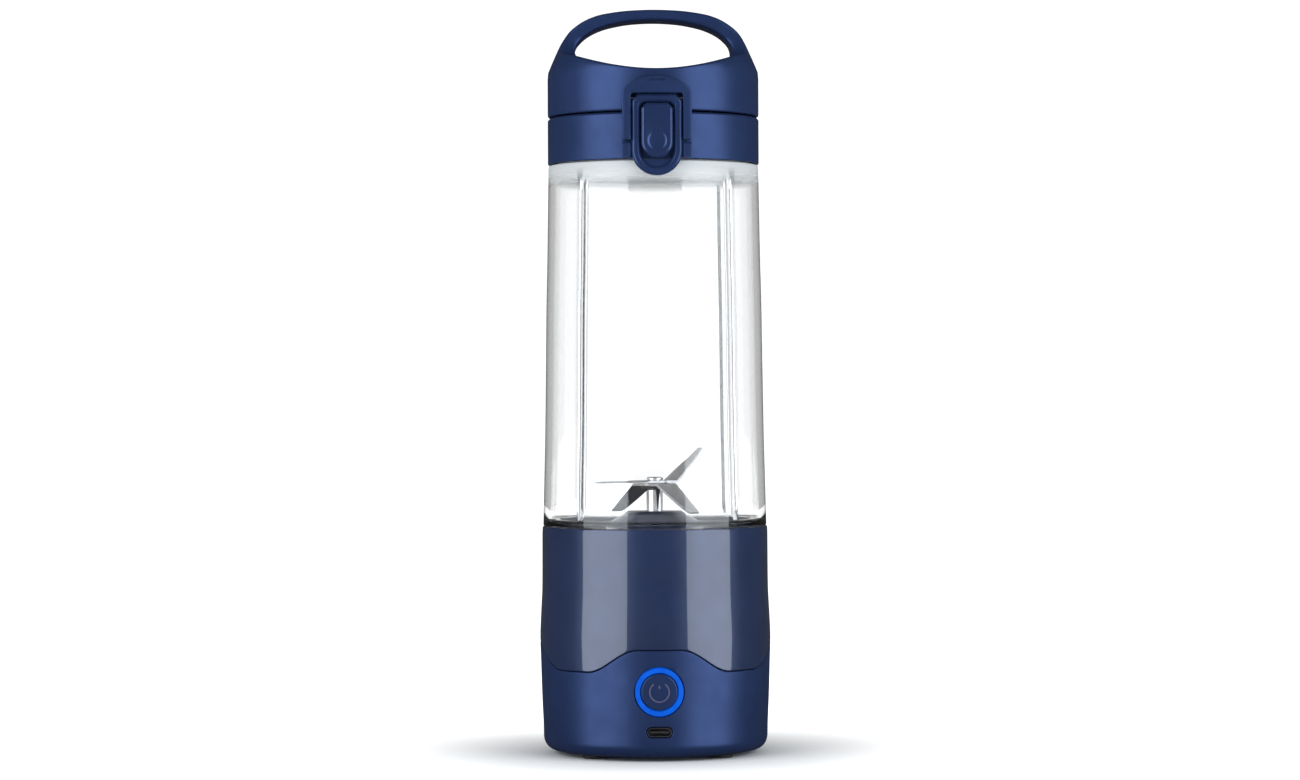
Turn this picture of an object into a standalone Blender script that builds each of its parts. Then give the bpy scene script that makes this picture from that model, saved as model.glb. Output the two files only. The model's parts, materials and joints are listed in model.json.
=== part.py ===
"""A cordless bottle blender: motor base, screwed cup, screwed lid with a flip cap and carry handle.

Metres, +Z up, standing on z = 0 on the axis, power button and lid latch facing -Y. The figures
below are millimetres. Each object left in the render is one physical piece.
"""

import math

import bmesh
import bpy
from mathutils import Matrix, Vector

MM = 0.001
SIDES = 40

# Outer radius of the base by height, and of the cup
BASE_RADII = (
    (1.5, 37.2), (1.8, 38.7), (2.7, 40.0), (4.2, 40.9), (6.5, 41.3), (12.7, 41.5), (21.6, 41.9),
    (33.5, 42.25), (42.4, 42.5), (48, 42.35), (54, 42.05), (60, 41.75), (68, 41.65), (80, 41.6),
    (83.5, 41.5),
)
CUP_RADII = (
    (86, 41.15), (100, 40.8), (115, 40.4), (138, 40.05), (165, 39.7), (182, 39.3), (215.3, 38.75),
)
CUP_WALL = 2.45

BASE_TOP = 83.5
BASE_WALL = 2.2
WELL_FLOOR = 71.0
DOME_TOP = 89.1
LEDGE = 68.9

# Screwed joints: the radii that meet, and the thread's lead and starts
BASE_NECK, BASE_BORE, BASE_LEAD, BASE_STARTS = 37.8, 39.2, 12.0, 3
LID_NECK, LID_BORE, LID_LEAD, LID_STARTS = 35.3, 36.6, 9.0, 2
NECK_TOP = 229.0

COLLAR_BOTTOM, COLLAR_TOP = 216.8, 233.6
LID_RADIUS = 38.95
CAP_BOTTOM = 234.2
CAP_CEILING = 246.0
DISH_LOW = 249.3
DISH_CURVE = 138.0
HANDLE_TOP = 273.5
HINGE_Y, HINGE_Z, HINGE_EYE = 41.3, 236.2, 2.2
LATCH_Y, LATCH_Z = -40.7, 238.2
HOOD_FRONT = 42.3

# Base colour, roughness and metallic value
FINISHES = {
    "navy_gloss": ((0.03, 0.045, 0.14), 0.15, 0),
    "navy_satin": ((0.035, 0.055, 0.17), 0.42, 0),
    "clear_cup": ((0.95, 0.97, 0.98), 0.05, 0),
    "blade_steel": ((0.6, 0.6, 0.61), 0.3, 1),
    "spindle_steel": ((0.7, 0.7, 0.71), 0.12, 1),
    "black_rubber": ((0.02, 0.02, 0.02), 0.8, 0),
    "silicone": ((0.75, 0.76, 0.78), 0.5, 0),
    "led_blue": ((0.02, 0.25, 0.95), 0.3, 0),
    "black_plastic": ((0.03, 0.03, 0.035), 0.5, 0),
    "board": ((0.03, 0.2, 0.08), 0.4, 0),
    "cell_wrap": ((0.05, 0.35, 0.6), 0.3, 0),
    "plain_steel": ((0.5, 0.5, 0.52), 0.35, 1),
    "magnet": ((0.12, 0.12, 0.13), 0.7, 0),
    "copper": ((0.75, 0.4, 0.25), 0.35, 1),
    "wire_red": ((0.6, 0.03, 0.03), 0.5, 0),
    "wire_black": ((0.03, 0.03, 0.03), 0.5, 0),
}

FOOT_X = 23.2
BLADE_REACH, BEND_REACH = 25.3, 6.5
BUTTON_Z = 25.3
USB_Z = 10.8
CELL_Y, CELL_Z, CELL_RADIUS = 9.6, 14.0, 9.15


def clear_scene():
    for thing in list(bpy.data.objects):
        bpy.data.objects.remove(thing)


def between(table, at):
    """Linear reading of a table of (position, value)."""
    if at <= table[0][0]:
        return table[0][1]
    for (low, first), (high, second) in zip(table, table[1:]):
        if at <= high:
            return first + (second - first) * (at - low) / (high - low)
    return table[-1][1]


def place(u, v, t, along, at):
    """A point t along an axis, with u and v across it."""
    across = {"x": (t, u, v), "y": (u, t, v), "z": (u, v, t)}[along]
    return tuple(a + b for a, b in zip(across, at))


def loft(rings, looped=False):
    """Points and faces of rings of points joined in turn, the ends capped or joined to each other."""
    count = len(rings[0])
    faces = []
    for i in range(len(rings) if looped else len(rings) - 1):
        low, high = i * count, (i + 1) % len(rings) * count
        for j in range(count):
            k = (j + 1) % count
            faces.append((low + j, low + k, high + k, high + j))
    if not looped:
        last = (len(rings) - 1) * count
        faces += [tuple(range(count)), tuple(range(last, last + count))]
    return [point for ring in rings for point in ring], faces


def revolve(profile, sides=SIDES, along="z", at=(0, 0, 0)):
    """A closed profile of (radius, height), or a function of the angle, turned about an axis."""
    rings = []
    for i in range(sides):
        angle = math.tau * i / sides
        section = profile(angle) if callable(profile) else profile
        cos, sin = math.cos(angle), math.sin(angle)
        rings.append([place(r * cos, r * sin, t, along, at) for r, t in section])
    return loft(rings, looped=True)


def disc(radius, low, high, sides=SIDES, along="z", at=(0, 0, 0)):
    return revolve(((0, low), (radius, low), (radius, high), (0, high)), sides, along, at)


def washer(inner, outer, low, high, sides=SIDES, along="z", at=(0, 0, 0)):
    return revolve(((inner, low), (outer, low), (outer, high), (inner, high)), sides, along, at)


def prism(outline, low, high, along="z"):
    return loft([[place(u, v, t, along, (0, 0, 0)) for u, v in outline] for t in (low, high)])


def box(low, high):
    outline = ((low[0], low[1]), (high[0], low[1]), (high[0], high[1]), (low[0], high[1]))
    return prism(outline, low[2], high[2])


def stadium(half_width, half_height, centre=0.0, steps=6):
    """Outline of a slot with round ends, wider than it is tall."""
    reach = half_width - half_height
    points = []
    for side, first in ((1, -90), (-1, 90)):
        for i in range(steps + 1):
            angle = math.radians(first + 180 * i / steps)
            points.append(
                (side * reach + half_height * math.cos(angle), centre + half_height * math.sin(angle))
            )
    return points


def tube(path, radius, sides=6):
    """A round wire along a path of points."""
    path = [Vector(point) for point in path]
    rings = []
    side = None
    for i, point in enumerate(path):
        ahead = (path[min(i + 1, len(path) - 1)] - path[max(i - 1, 0)]).normalized()
        side = side or ahead.orthogonal()
        side = (side - ahead * side.dot(ahead)).normalized()
        up = ahead.cross(side)
        ring = []
        for j in range(sides):
            angle = math.tau * j / sides
            ring.append(point + radius * (math.cos(angle) * side + math.sin(angle) * up))
        rings.append(ring)
    return loft(rings)


def thread(root, tip, low, lead, starts, turn):
    """Helical ridges standing on a round wall, one for each start, fading out at both ends."""
    shapes = []
    outward = 1 if tip > root else -1
    steps = int(turn / 11)
    for start in range(starts):
        rings = []
        for i in range(steps + 1):
            degrees = turn * i / steps
            angle = math.radians(degrees + 360 * start / starts + 3)
            rise = min(1, 8 * i / steps, 8 * (steps - i) / steps)
            crest = root + (tip - root) * rise - outward * 0.1 * (1 - rise)
            height = low + lead * degrees / 360
            section = (
                (root - outward * 0.6, height - 0.95),
                (crest, height - 0.4),
                (crest, height + 0.4),
                (root - outward * 0.6, height + 0.95),
            )
            rings.append([(r * math.cos(angle), r * math.sin(angle), z) for r, z in section])
        shapes.append(loft(rings))
    return shapes


def solid(name, *shapes):
    """One object from shapes that stay apart from each other, its faces turned outwards."""
    points, faces = [], []
    for shape_points, shape_faces in shapes:
        first = len(points)
        points += [Vector(point) * MM for point in shape_points]
        faces += [tuple(first + i for i in face) for face in shape_faces]
    mesh = bpy.data.meshes.new(name)
    mesh.from_pydata(points, [], faces)
    form = bmesh.new()
    form.from_mesh(mesh)
    bmesh.ops.remove_doubles(form, verts=form.verts, dist=1e-7)
    bmesh.ops.recalc_face_normals(form, faces=form.faces)
    form.to_mesh(mesh)
    form.free()
    thing = bpy.data.objects.new(name, mesh)
    bpy.context.scene.collection.objects.link(thing)
    return thing


def piece(name, finish, *shapes):
    """A physical piece: a solid, shaded smooth away from its edges, in a finish of its own."""
    thing = solid(name, *shapes)
    thing.data.shade_smooth()
    thing.data.set_sharp_from_angle(angle=math.radians(30))
    material = bpy.data.materials.new(f"{name}_{finish}")
    material.use_nodes = True
    shader = material.node_tree.nodes["Principled BSDF"]
    color, roughness, metallic = FINISHES[finish]
    shader.inputs["Base Color"].default_value = (*color, 1)
    shader.inputs["Roughness"].default_value = roughness
    shader.inputs["Metallic"].default_value = metallic
    thing.data.materials.append(material)
    return thing


def pivot(name, at, *things):
    """An empty on a joint's axis that carries the pieces of one moving body."""
    carrier = bpy.data.objects.new(name, None)
    carrier.location = Vector(at) * MM
    bpy.context.scene.collection.objects.link(carrier)
    for thing in things:
        thing.parent = carrier
        thing.matrix_parent_inverse = Matrix.Translation(-carrier.location)


def combine(thing, operation, *shapes):
    """Adds shapes to an object, or takes them from it. Shapes in one call stay apart from each other."""
    other = solid(f"{thing.name}_{operation.lower()}_{len(thing.modifiers)}", *shapes)
    other.hide_render = True
    other.display_type = "WIRE"
    step = thing.modifiers.new(other.name, "BOOLEAN")
    step.object = other
    step.operation = operation
    step.solver = "EXACT"


def join(thing, *shapes):
    combine(thing, "UNION", *shapes)


def cut(thing, *shapes):
    combine(thing, "DIFFERENCE", *shapes)


def from_front(angle):
    """Degrees away from the front or the back, whichever is nearer, of an angle about the axis."""
    away = abs((math.degrees(angle) - 270 + 180) % 360 - 180)
    return min(away, 180 - away)


def parting(angle):
    """Height of the wavy line where the lower shell meets the motor housing."""
    away = from_front(angle)
    if away < 10:
        return 40.3
    if away < 37.5:
        return 36.15 + 4.15 * math.cos(math.pi * (away - 10) / 27.5)
    if away < 55:
        return 32.0
    return 36.65 - 4.65 * math.cos(math.pi * (away - 55) / 35)


def foot_places():
    for x in (-FOOT_X, FOOT_X):
        for y in (-FOOT_X, FOOT_X):
            side = "left" if x < 0 else "right"
            end = "front" if y < 0 else "rear"
            yield f"{end}_{side}", x, y


def build_lower_shell():
    def profile(angle):
        top = parting(angle) - 0.15
        outer = between(BASE_RADII, top)
        return (
            (0, 1.5), *((r, z) for z, r in BASE_RADII[:7]), (outer, top), (outer - BASE_WALL, top),
            (39.7, 21.6), (39.1, 6.5), (37.6, 3.7), (0, 3.7),
        )

    shell = piece("lower_shell", "navy_satin", revolve(profile))
    join(shell, *(disc(3.9, 3.0, 8.0, 16, at=(x, y, 0)) for _, x, y in foot_places()))
    well = ((0, 0), (4.3, 0), (4.3, 2.5), (3.1, 2.5), (3.1, 5.4), (1.8, 5.4), (1.8, 9), (0, 9))
    cut(shell, *(revolve(well, 16, at=(x, y, 0)) for _, x, y in foot_places()))
    cut(
        shell,
        disc(9.0, -45, -36, 32, "y", (0, 0, BUTTON_Z)),
        prism(stadium(4.8, 1.95, USB_Z), -45, -36, "y"),
    )


def build_motor_housing():
    def profile(angle):
        low = parting(angle) + 0.15
        outer = between(BASE_RADII, low)
        return (
            (outer, low), *((r, z) for z, r in BASE_RADII[9:14]), (41.5, 82.9), (41.0, BASE_TOP),
            (39.8, BASE_TOP), (BASE_BORE, 82.9), (BASE_BORE, LEDGE), (36.8, LEDGE), (36.8, 66.9),
            (39.2, 65.5), (39.7, 54), (39.9, 46), (outer - 4.0, low + 1.5), (outer - 4.0, low - 3),
            (outer - 2.7, low - 3), (outer - 2.6, low),
        )

    housing = piece("motor_housing", "navy_gloss", revolve(profile))
    join(housing, *thread(BASE_BORE, 38.2, 77.4, BASE_LEAD, BASE_STARTS, 90))
    for _, x, y in foot_places():
        join(housing, column_rib(x, y))
        join(housing, disc(3.6, 8.4, 66.0, 16, at=(x, y, 0)))
    cut(housing, *(disc(1.8, 8, 18, 12, at=(x, y, 0)) for _, x, y in foot_places()))


def column_rib(x, y):
    """A web from a screw column out to the housing wall, which stands further out lower down."""
    out = Vector((x, y)).normalized()
    across = Vector((-out.y, out.x)) * 0.8
    rings = []
    for z, reach in ((48.0, 40.6), (67.8, 38.2)):
        corners = (out * 34 - across, out * reach - across, out * reach + across, out * 34 + across)
        rings.append([(p.x, p.y, z) for p in corners])
    return loft(rings)


def build_feet_and_screws():
    for where, x, y in foot_places():
        at = (x, y, 0)
        foot = ((0, 0), (3.6, 0), (4.0, 0.4), (4.0, 2.2), (0, 2.2))
        piece(f"foot_{where}", "black_rubber", revolve(foot, 20, at=at))
        screw = ((0, 3.0), (2.75, 3.0), (2.75, 5.1), (1.4, 5.1), (1.4, 16.0), (0, 16.0))
        piece(f"base_screw_{where}", "plain_steel", revolve(screw, 12, at=at))


def build_blade_base():
    profile = (
        (38.8, 69.1), (38.8, WELL_FLOOR), (30.2, WELL_FLOOR), (17.3, 81.9), (11.2, 88.2), (10.4, 88.85),
        (9.6, DOME_TOP), (3.6, DOME_TOP), (3.6, 88.5), (6.9, 88.5), (6.9, 84.9), (8.9, 84.9), (8.9, 72.5),
        (11.4, 72.5), (11.4, 80.2), (15.9, 80.2), (28.8, 69.1),
    )
    base = piece("blade_base", "navy_gloss", revolve(profile, 32))
    join(base, *(disc(3.0, 66.6, 76.3, 12, at=at) for at in mount_posts()))
    cut(base, *(disc(1.4, 66, 74, 12, at=at) for at in mount_posts()))


def mount_posts():
    return [(22 * math.cos(a), 22 * math.sin(a), 0) for a in (math.tau * (i / 3 + 0.25) for i in range(3))]


def build_motor():
    piece(
        "motor_can", "plain_steel",
        revolve(
            ((13.9, 27.4), (13.9, 63.6), (13.1, 64.4), (4.5, 64.4), (4.5, 66.0), (2.0, 66.0),
             (2.0, 63.1), (12.7, 63.1), (12.7, 27.4)), 20,
        ),
    )
    piece(
        "motor_end_cap", "black_plastic",
        revolve(((2.0, 24.9), (13.9, 24.9), (13.9, 27.1), (12.4, 27.1), (12.4, 28.9), (2.0, 28.9)), 20),
    )
    piece(
        "motor_rotor", "copper",
        revolve(
            ((0, 27.6), (1.58, 27.6), (1.58, 29.6), (3.4, 29.6), (3.4, 32.4), (10.4, 33), (10.4, 55),
             (1.58, 55.8), (1.58, 73.4), (0, 73.4)), 16,
        ),
    )
    for side, middle in (("left", 180), ("right", 0)):
        angles = [math.radians(middle + step) for step in range(-60, 61, 15)]
        arc = [(12.4 * math.cos(a), 12.4 * math.sin(a)) for a in angles]
        arc += [(10.9 * math.cos(a), 10.9 * math.sin(a)) for a in reversed(angles)]
        piece(f"motor_magnet_{side}", "magnet", prism(arc, 33, 55))
        x = -8 if side == "left" else 8
        piece(f"motor_terminal_{side}", "copper", box((x - 1.2, -0.3, 21.4), (x + 1.2, 0.3, 24.6)))
    mount = piece("motor_mount", "plain_steel", washer(5.0, 27, 64.65, 66.35, 24))
    cut(mount, *(disc(1.5, 64, 67, 12, at=at) for at in mount_posts()))
    for i, at in enumerate(mount_posts()):
        screw = ((0, 62.6), (2.5, 62.6), (2.5, 64.4), (1.05, 64.4), (1.05, 73), (0, 73))
        piece(f"mount_screw_{i + 1}", "plain_steel", revolve(screw, 10, at=at))


def build_drive():
    piece(
        "drive_coupler", "black_plastic",
        revolve(((5.2, 67.6), (5.2, 78.4), (3.4, 78.4), (3.4, 74.2), (1.95, 74.0), (1.95, 67.6)), 16),
    )
    piece("spindle_bearing", "plain_steel", washer(3.45, 8.5, 79.3, 84.5, 16))
    piece("shaft_seal", "black_rubber", washer(3.45, 6.5, 85.3, 88.1, 16))
    piece(
        "spindle", "spindle_steel",
        revolve(((0, 74.6), (3.05, 74.6), (3.05, 97.0), (2.1, 97.0), (2.1, 100.9), (0, 100.9)), 20),
    )
    piece("blade_washer", "black_plastic", washer(2.45, 5.2, 97.3, 98.1, 20))
    nut = (
        (0, 101.5), (2.7, 101.5), (3.05, 101.1), (3.05, 100.4), (2.45, 100.4), (2.45, 101.1), (0, 101.1),
    )
    piece("blade_nut", "spindle_steel", revolve(nut, 20))
    wing("lower_blade", 98.75, 0.9, -50, (-34, -34), 2.0)
    wing("upper_blade", 99.8, 0.8, 32, (0, 41.5), 1.6)


def wing(name, height, thickness, heading, bends, tip):
    """A flat strip through the spindle that bends up or down, or not at all, on its left and its right."""
    turn = math.radians(heading)
    rings = []
    stations = (
        (-1, BLADE_REACH, tip), (-1, BEND_REACH, 5.0), (1, 0, 5.6),
        (1, BEND_REACH, 5.0), (1, BLADE_REACH, tip),
    )
    for side, reach, half_width in stations:
        slope = math.radians(bends[0] if side < 0 else bends[1])
        beyond = reach - BEND_REACH if reach > BEND_REACH else 0
        along = side * (min(reach, BEND_REACH) + beyond * math.cos(slope))
        # The faces at a bend lean by half its angle, and stand further apart
        tilt = slope if beyond else slope / 2 if reach else 0
        spread = thickness / 2 / math.cos(slope - tilt if reach else 0)
        lift = Vector((-side * math.sin(tilt), 0, math.cos(tilt))) * spread
        ring = []
        for across, up in ((-1, -1), (1, -1), (1, 1), (-1, 1)):
            local = Vector((along, across * half_width, beyond * math.sin(slope))) + up * lift
            ring.append((
                local.x * math.cos(turn) - local.y * math.sin(turn),
                local.x * math.sin(turn) + local.y * math.cos(turn),
                height + local.z,
            ))
        rings.append(ring)
    blade = piece(name, "blade_steel", loft(rings))
    cut(blade, disc(2.45, height - 3, height + 3, 20))


def shell_surface(x, z):
    """How far forward of the axis the lower shell's outside is."""
    return math.sqrt(between(BASE_RADII, z) ** 2 - x * x)


def build_controls():
    at = (0, 0, BUTTON_Z)

    def front(radius, angle):
        return -shell_surface(radius * math.cos(angle), BUTTON_Z + radius * math.sin(angle))

    def ring_profile(angle):
        return ((6.95, -37.4), (6.95, front(6.95, angle) - 0.1), (8.7, front(8.7, angle) - 0.1), (8.7, -37.4))

    def button_profile(angle):
        return (
            (0, -35.6), (1.6, -35.6), (1.6, -38.7), (6.6, -38.7), (6.6, front(6.6, angle) + 0.3),
            (6.2, front(6.2, angle) - 0.1), (3.2, front(3.2, angle) + 0.1),
            (0, 0.2 - shell_surface(0, BUTTON_Z)),
        )

    piece("led_ring", "led_blue", revolve(ring_profile, 32, "y", at))
    piece("power_button", "navy_satin", revolve(button_profile, 32, "y", at))
    piece("button_seal", "black_rubber", washer(2.1, 9.4, -37.0, -36.3, 16, "y", at))
    switch = piece("tact_switch", "black_plastic", box((-3, -33.9, BUTTON_Z - 3), (3, -32.4, BUTTON_Z + 3)))
    join(switch, disc(1.7, -34.8, -33.5, 12, "y", at))
    piece("circuit_board", "board", box((-17, -32.2, 6.5), (17, -30.8, 33.5)))
    port = piece("usb_port", "plain_steel", prism(stadium(4.47, 1.63, USB_Z), -40.4, -32.5, "y"))
    cut(port, prism(stadium(4.17, 1.33, USB_Z), -41, -33.3, "y"))
    join(port, box((-3.3, -39.6, USB_Z - 0.35), (3.3, -33.0, USB_Z + 0.35)))


def build_battery():
    holder = piece("battery_holder", "black_plastic", box((-27, -18.4, 3.9), (27, 18.4, 9.5)))
    cut(holder, *(disc(9.5, -28, 28, 24, "x", (0, y, CELL_Z)) for y in (-CELL_Y, CELL_Y)))
    for end, y in (("front", -CELL_Y), ("rear", CELL_Y)):
        cell = ((0, -32.5), (8.6, -32.5), (CELL_RADIUS, -31.9), (CELL_RADIUS, 31.9), (8.6, 32.5), (0, 32.5))
        piece(f"battery_cell_{end}", "cell_wrap", revolve(cell, 18, "x", (0, y, CELL_Z)))
    piece("battery_link", "plain_steel", box((32.8, -12, 11), (33.1, 12, 17)))


def build_wires():
    for side, x in (("left", -1), ("right", 1)):
        path = (
            (x * 10, -30.1, 31), (x * 10, -27, 30.4), (x * 10, -22, 27.6), (x * 9.7, -17.5, 25),
            (x * 9.3, -14, 24.1), (x * 8.8, -9, 24.05), (x * 8.3, -4.5, 23.9), (x * 8, -1.2, 23.2),
        )
        piece(f"motor_lead_{side}", "wire_black" if x < 0 else "wire_red", tube(path, 0.5))
    for end, height, stop, cell_end in (("front", 12, 200, -9.6), ("rear", 16.5, 176, 9.6)):
        path = [(-17.5, -31.6, height)]
        for degrees in range(236, stop - 1, -6):
            angle = math.radians(degrees)
            path.append((37.7 * math.cos(angle), 37.7 * math.sin(angle), height))
        path.append((-33.4, cell_end, CELL_Z))
        piece(f"battery_lead_{end}", "wire_black" if end == "front" else "wire_red", tube(path, 0.5))


def build_cup():
    inner = [(r - CUP_WALL, z) for z, r in CUP_RADII[1:-1]]
    profile = (
        (35.4, 73.0), (37.4, 73.0), (BASE_NECK, 73.4), (BASE_NECK, 84.0), (40.7, 84.0), (41.2, 84.5),
        *((r, z) for z, r in CUP_RADII), (38.3, 216.3), (LID_NECK, 216.3), (LID_NECK, 228.5),
        (34.8, NECK_TOP), (33.0, NECK_TOP), (32.9, 218.6), (36.3, 214.6), *reversed(inner),
        (38.65, 87.0), (38.0, 85.6), (35.4, 84.2),
    )
    cup = piece("cup", "clear_cup", revolve(profile))
    join(cup, *thread(BASE_NECK, 38.8, 75.4, BASE_LEAD, BASE_STARTS, 90))
    join(cup, *thread(LID_NECK, 36.2, 219.3, LID_LEAD, LID_STARTS, 150))
    join(cup, *(cup_rib(math.radians(degrees)) for degrees in (45, 135, 225, 315)))
    piece("cup_gasket", "silicone", washer(35.2, 38.3, 71.25, 72.75))


def cup_rib(angle):
    """An upright bar on the inside of the cup's wall that stirs the drink into the blades."""
    out = Vector((math.cos(angle), math.sin(angle)))
    across = Vector((-out.y, out.x)) * 1.2
    rings = []
    for z, inner, outer in ((90, 37.4, 39.2), (96, 36.6, 39.3), (205, 34.8, 37.7), (212, 35.4, 37.2)):
        corners = (out * inner - across, out * outer - across, out * outer + across, out * inner + across)
        rings.append([(p.x, p.y, z) for p in corners])
    return loft(rings)


def arc_points(centre, radius, first, last, steps):
    points = []
    for i in range(steps + 1):
        angle = math.radians(first + (last - first) * i / steps)
        points.append((centre[0] + radius * math.cos(angle), centre[1] + radius * math.sin(angle)))
    return points


def build_collar():
    profile = (
        (38.55, COLLAR_BOTTOM), (LID_RADIUS, 217.2), (LID_RADIUS, 232.9), (38.35, COLLAR_TOP),
        (37.0, COLLAR_TOP), (36.4, 232.8), (22.0, 232.8), (22.0, 238.2), (21.6, 238.6), (20.0, 238.6),
        (19.6, 238.2), (19.6, 230.9), (LID_BORE, 230.9), (LID_BORE, 217.3), (37.1, COLLAR_BOTTOM),
    )
    collar = piece("lid_collar", "navy_satin", revolve(profile))
    join(collar, *thread(LID_BORE, 35.7, 221.55, LID_LEAD, LID_STARTS, 150))
    for side in (-1, 1):
        lug = [(37.6, 224.5), (39.5, 224.5), (43.3, 232.8)]
        lug += arc_points((HINGE_Y, HINGE_Z), HINGE_EYE, 0, 180, 8) + [(39.1, 233.1), (37.6, 233.1)]
        join(collar, prism(lug, *sorted((side * 8.2, side * 13.8)), "x"))
        join(collar, latch_pad(side))
    cut(collar, disc(1.35, -20, 20, 12, "x", (0, HINGE_Y, HINGE_Z)))
    piece("lid_gasket", "silicone", washer(33.2, 36.0, 229.2, 230.7))
    piece("hinge_pin", "spindle_steel", disc(1.0, -13.6, 13.6, 12, "x", (0, HINGE_Y, HINGE_Z)))
    coil = []
    for i in range(5 * 9 + 1):
        angle = math.tau * i / 9
        coil.append((-3.3 + 6.6 * i / 45, HINGE_Y + 1.7 * math.cos(angle), HINGE_Z + 1.7 * math.sin(angle)))
    piece("cap_spring", "spindle_steel", tube(coil, 0.28, 5))


def latch_pad(side):
    """A block on the collar below the hood's cheek, beside the lock ring."""
    rings = []
    for z, back, front in ((217.3, 37.9, 41.2), (222.0, 37.9, 41.2), (222.7, 37.9, 40.6)):
        ring = []
        for x, radius in ((9.5, back), (12.5, back), (12.5, front), (9.5, front)):
            y = math.sqrt(radius**2 - x**2) if radius == back else radius
            ring.append((side * x, -y, z))
        rings.append(ring)
    return loft(rings)


def cap_radius(z):
    return between(((249, 38.95), (250, 38.9), (253, 37.8), (256, 36.5), (258.9, 35.2)), z)


def cap_profile(angle):
    """The cap's section: straight wall, rounded rim and a dished top that rises towards both handle roots."""
    rim = DISH_LOW
    for _ in range(12):
        rim = DISH_LOW + (cap_radius(rim) * math.cos(angle)) ** 2 / DISH_CURVE

    def dish(radius):
        return DISH_LOW + (radius * math.cos(angle)) ** 2 / DISH_CURVE

    edge = cap_radius(rim) - 1.3
    top = [(edge * part, dish(edge * part)) for part in (1, 0.82, 0.6, 0.35, 0)]
    return (
        (0, CAP_CEILING), (36.0, CAP_CEILING), (36.6, 245.4), (36.6, 234.6), (37.0, CAP_BOTTOM),
        (38.4, CAP_BOTTOM), (LID_RADIUS, 234.8), (LID_RADIUS, 247.2), (cap_radius(rim - 1.1), rim - 1.1),
        (cap_radius(rim - 0.3) - 0.4, rim - 0.3), *top,
    )


# Handle loop: the outline and the hole beside each other, and half the depth front to back
HANDLE = (
    ((37.2, 253.4), (28.4, 251.5), 11.5), ((36.5, 256), (28.6, 255.4), 10.4),
    ((35.2, 258.9), (28.9, 258.0), 9.2), ((33.6, 261.9), (28.3, 260.2), 8.5),
    ((31.3, 264.9), (26.8, 262.1), 8.1), ((28.9, 267.1), (24.8, 263.9), 8),
    ((25.8, 269.2), (22.4, 265.4), 8), ((22.8, 270.6), (19.8, 266.6), 8),
    ((18.9, 271.8), (16.4, 267.7), 8), ((12, 272.9), (10.8, 268.85), 8), ((6, 273.35), (5.6, 269.4), 8),
    ((0, HANDLE_TOP), (0, 269.6), 8),
)


def handle_shape():
    stations = [(1, *row) for row in HANDLE] + [(-1, *row) for row in reversed(HANDLE[:-1])]
    rings = []
    for side, outer, inner, half in stations:
        outer, inner = Vector(outer), Vector(inner)
        step = (inner - outer).normalized()
        ring = []
        for sink, y in ((1.3, -half), (0, -half + 1.6), (0, half - 1.6), (1.3, half)):
            point = outer + step * sink
            ring.append((side * point.x, y, point.y))
        for sink, y in ((1.1, half), (0, half - 1.3), (0, -half + 1.3), (1.1, -half)):
            point = inner - step * sink
            ring.append((side * point.x, y, point.y))
        rings.append(ring)
    return loft(rings)


def hood_shape():
    """The hood over the latch: an arch across the front of the cap and a cheek down each side of the ring."""
    half = (
        ((12.5, 223.2), (9.45, 223.2)), ((12.5, 234.0), (9.45, 234.0)), ((12.5, 234.7), (9.45, 234.7)),
        ((12.5, 240.4), (9.45, 239.4)), ((10.6, 242.6), (8.9, 240.1)), ((7.8, 244.7), (6.5, 240.1)),
        ((4, 245.9), (3.5, 240.1)), ((0, 246.2), (0, 240.1)),
    )
    stations = [(-1, *row) for row in half] + [(1, *row) for row in reversed(half[:-1])]
    rings = []
    for side, outer, inner in stations:
        back = 39.35 if outer[1] < CAP_BOTTOM else 37.7
        ring = []
        for (x, z), radius in ((outer, back), (outer, 0), (inner, 0), (inner, back)):
            y = math.sqrt(radius**2 - x**2) if radius else HOOD_FRONT - x * x / 500
            ring.append((side * x, -y, z))
        rings.append(ring)
    return loft(rings)


def build_flip_cap():
    cap = piece("flip_cap", "navy_satin", revolve(cap_profile))
    join(cap, handle_shape())
    join(cap, hood_shape())
    knuckle = [(37.6, 246.5), (37.6, 236.2), (39.1, 236.2)]
    knuckle += arc_points((HINGE_Y, HINGE_Z), HINGE_EYE, 180, 360, 8) + [(43.2, 239.6), (39.4, 246.5)]
    for side in (-1, 1):
        join(cap, prism(knuckle, *sorted((side * 4.0, side * 7.8)), "x"))
    cut(cap, disc(1.35, -9, 9, 12, "x", (0, HINGE_Y, HINGE_Z)))
    cut(cap, disc(0.8, -12.2, 12.2, 10, "x", (0, LATCH_Y, LATCH_Z)))
    cut(cap, box((-2.9, -40, 233.8), (2.9, -35, 236.5)))


def build_cap_fittings():
    piece("cap_liner", "navy_satin", disc(34.5, 243.9, 245.7))
    plug = ((0, 243.6), (19.0, 243.6), (18.7, 235.2), (17.2, 235.2), (16.8, 241.5), (0, 241.5))
    piece("spout_plug", "silicone", revolve(plug, 32))
    piece("release_spring", "spindle_steel", box((-4, -31.9, 234.8), (4, -31.5, 243.6)))
    piece("lock_ring_pin", "spindle_steel", disc(0.5, -11.9, 11.9, 10, "x", (0, LATCH_Y, LATCH_Z)))


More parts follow.
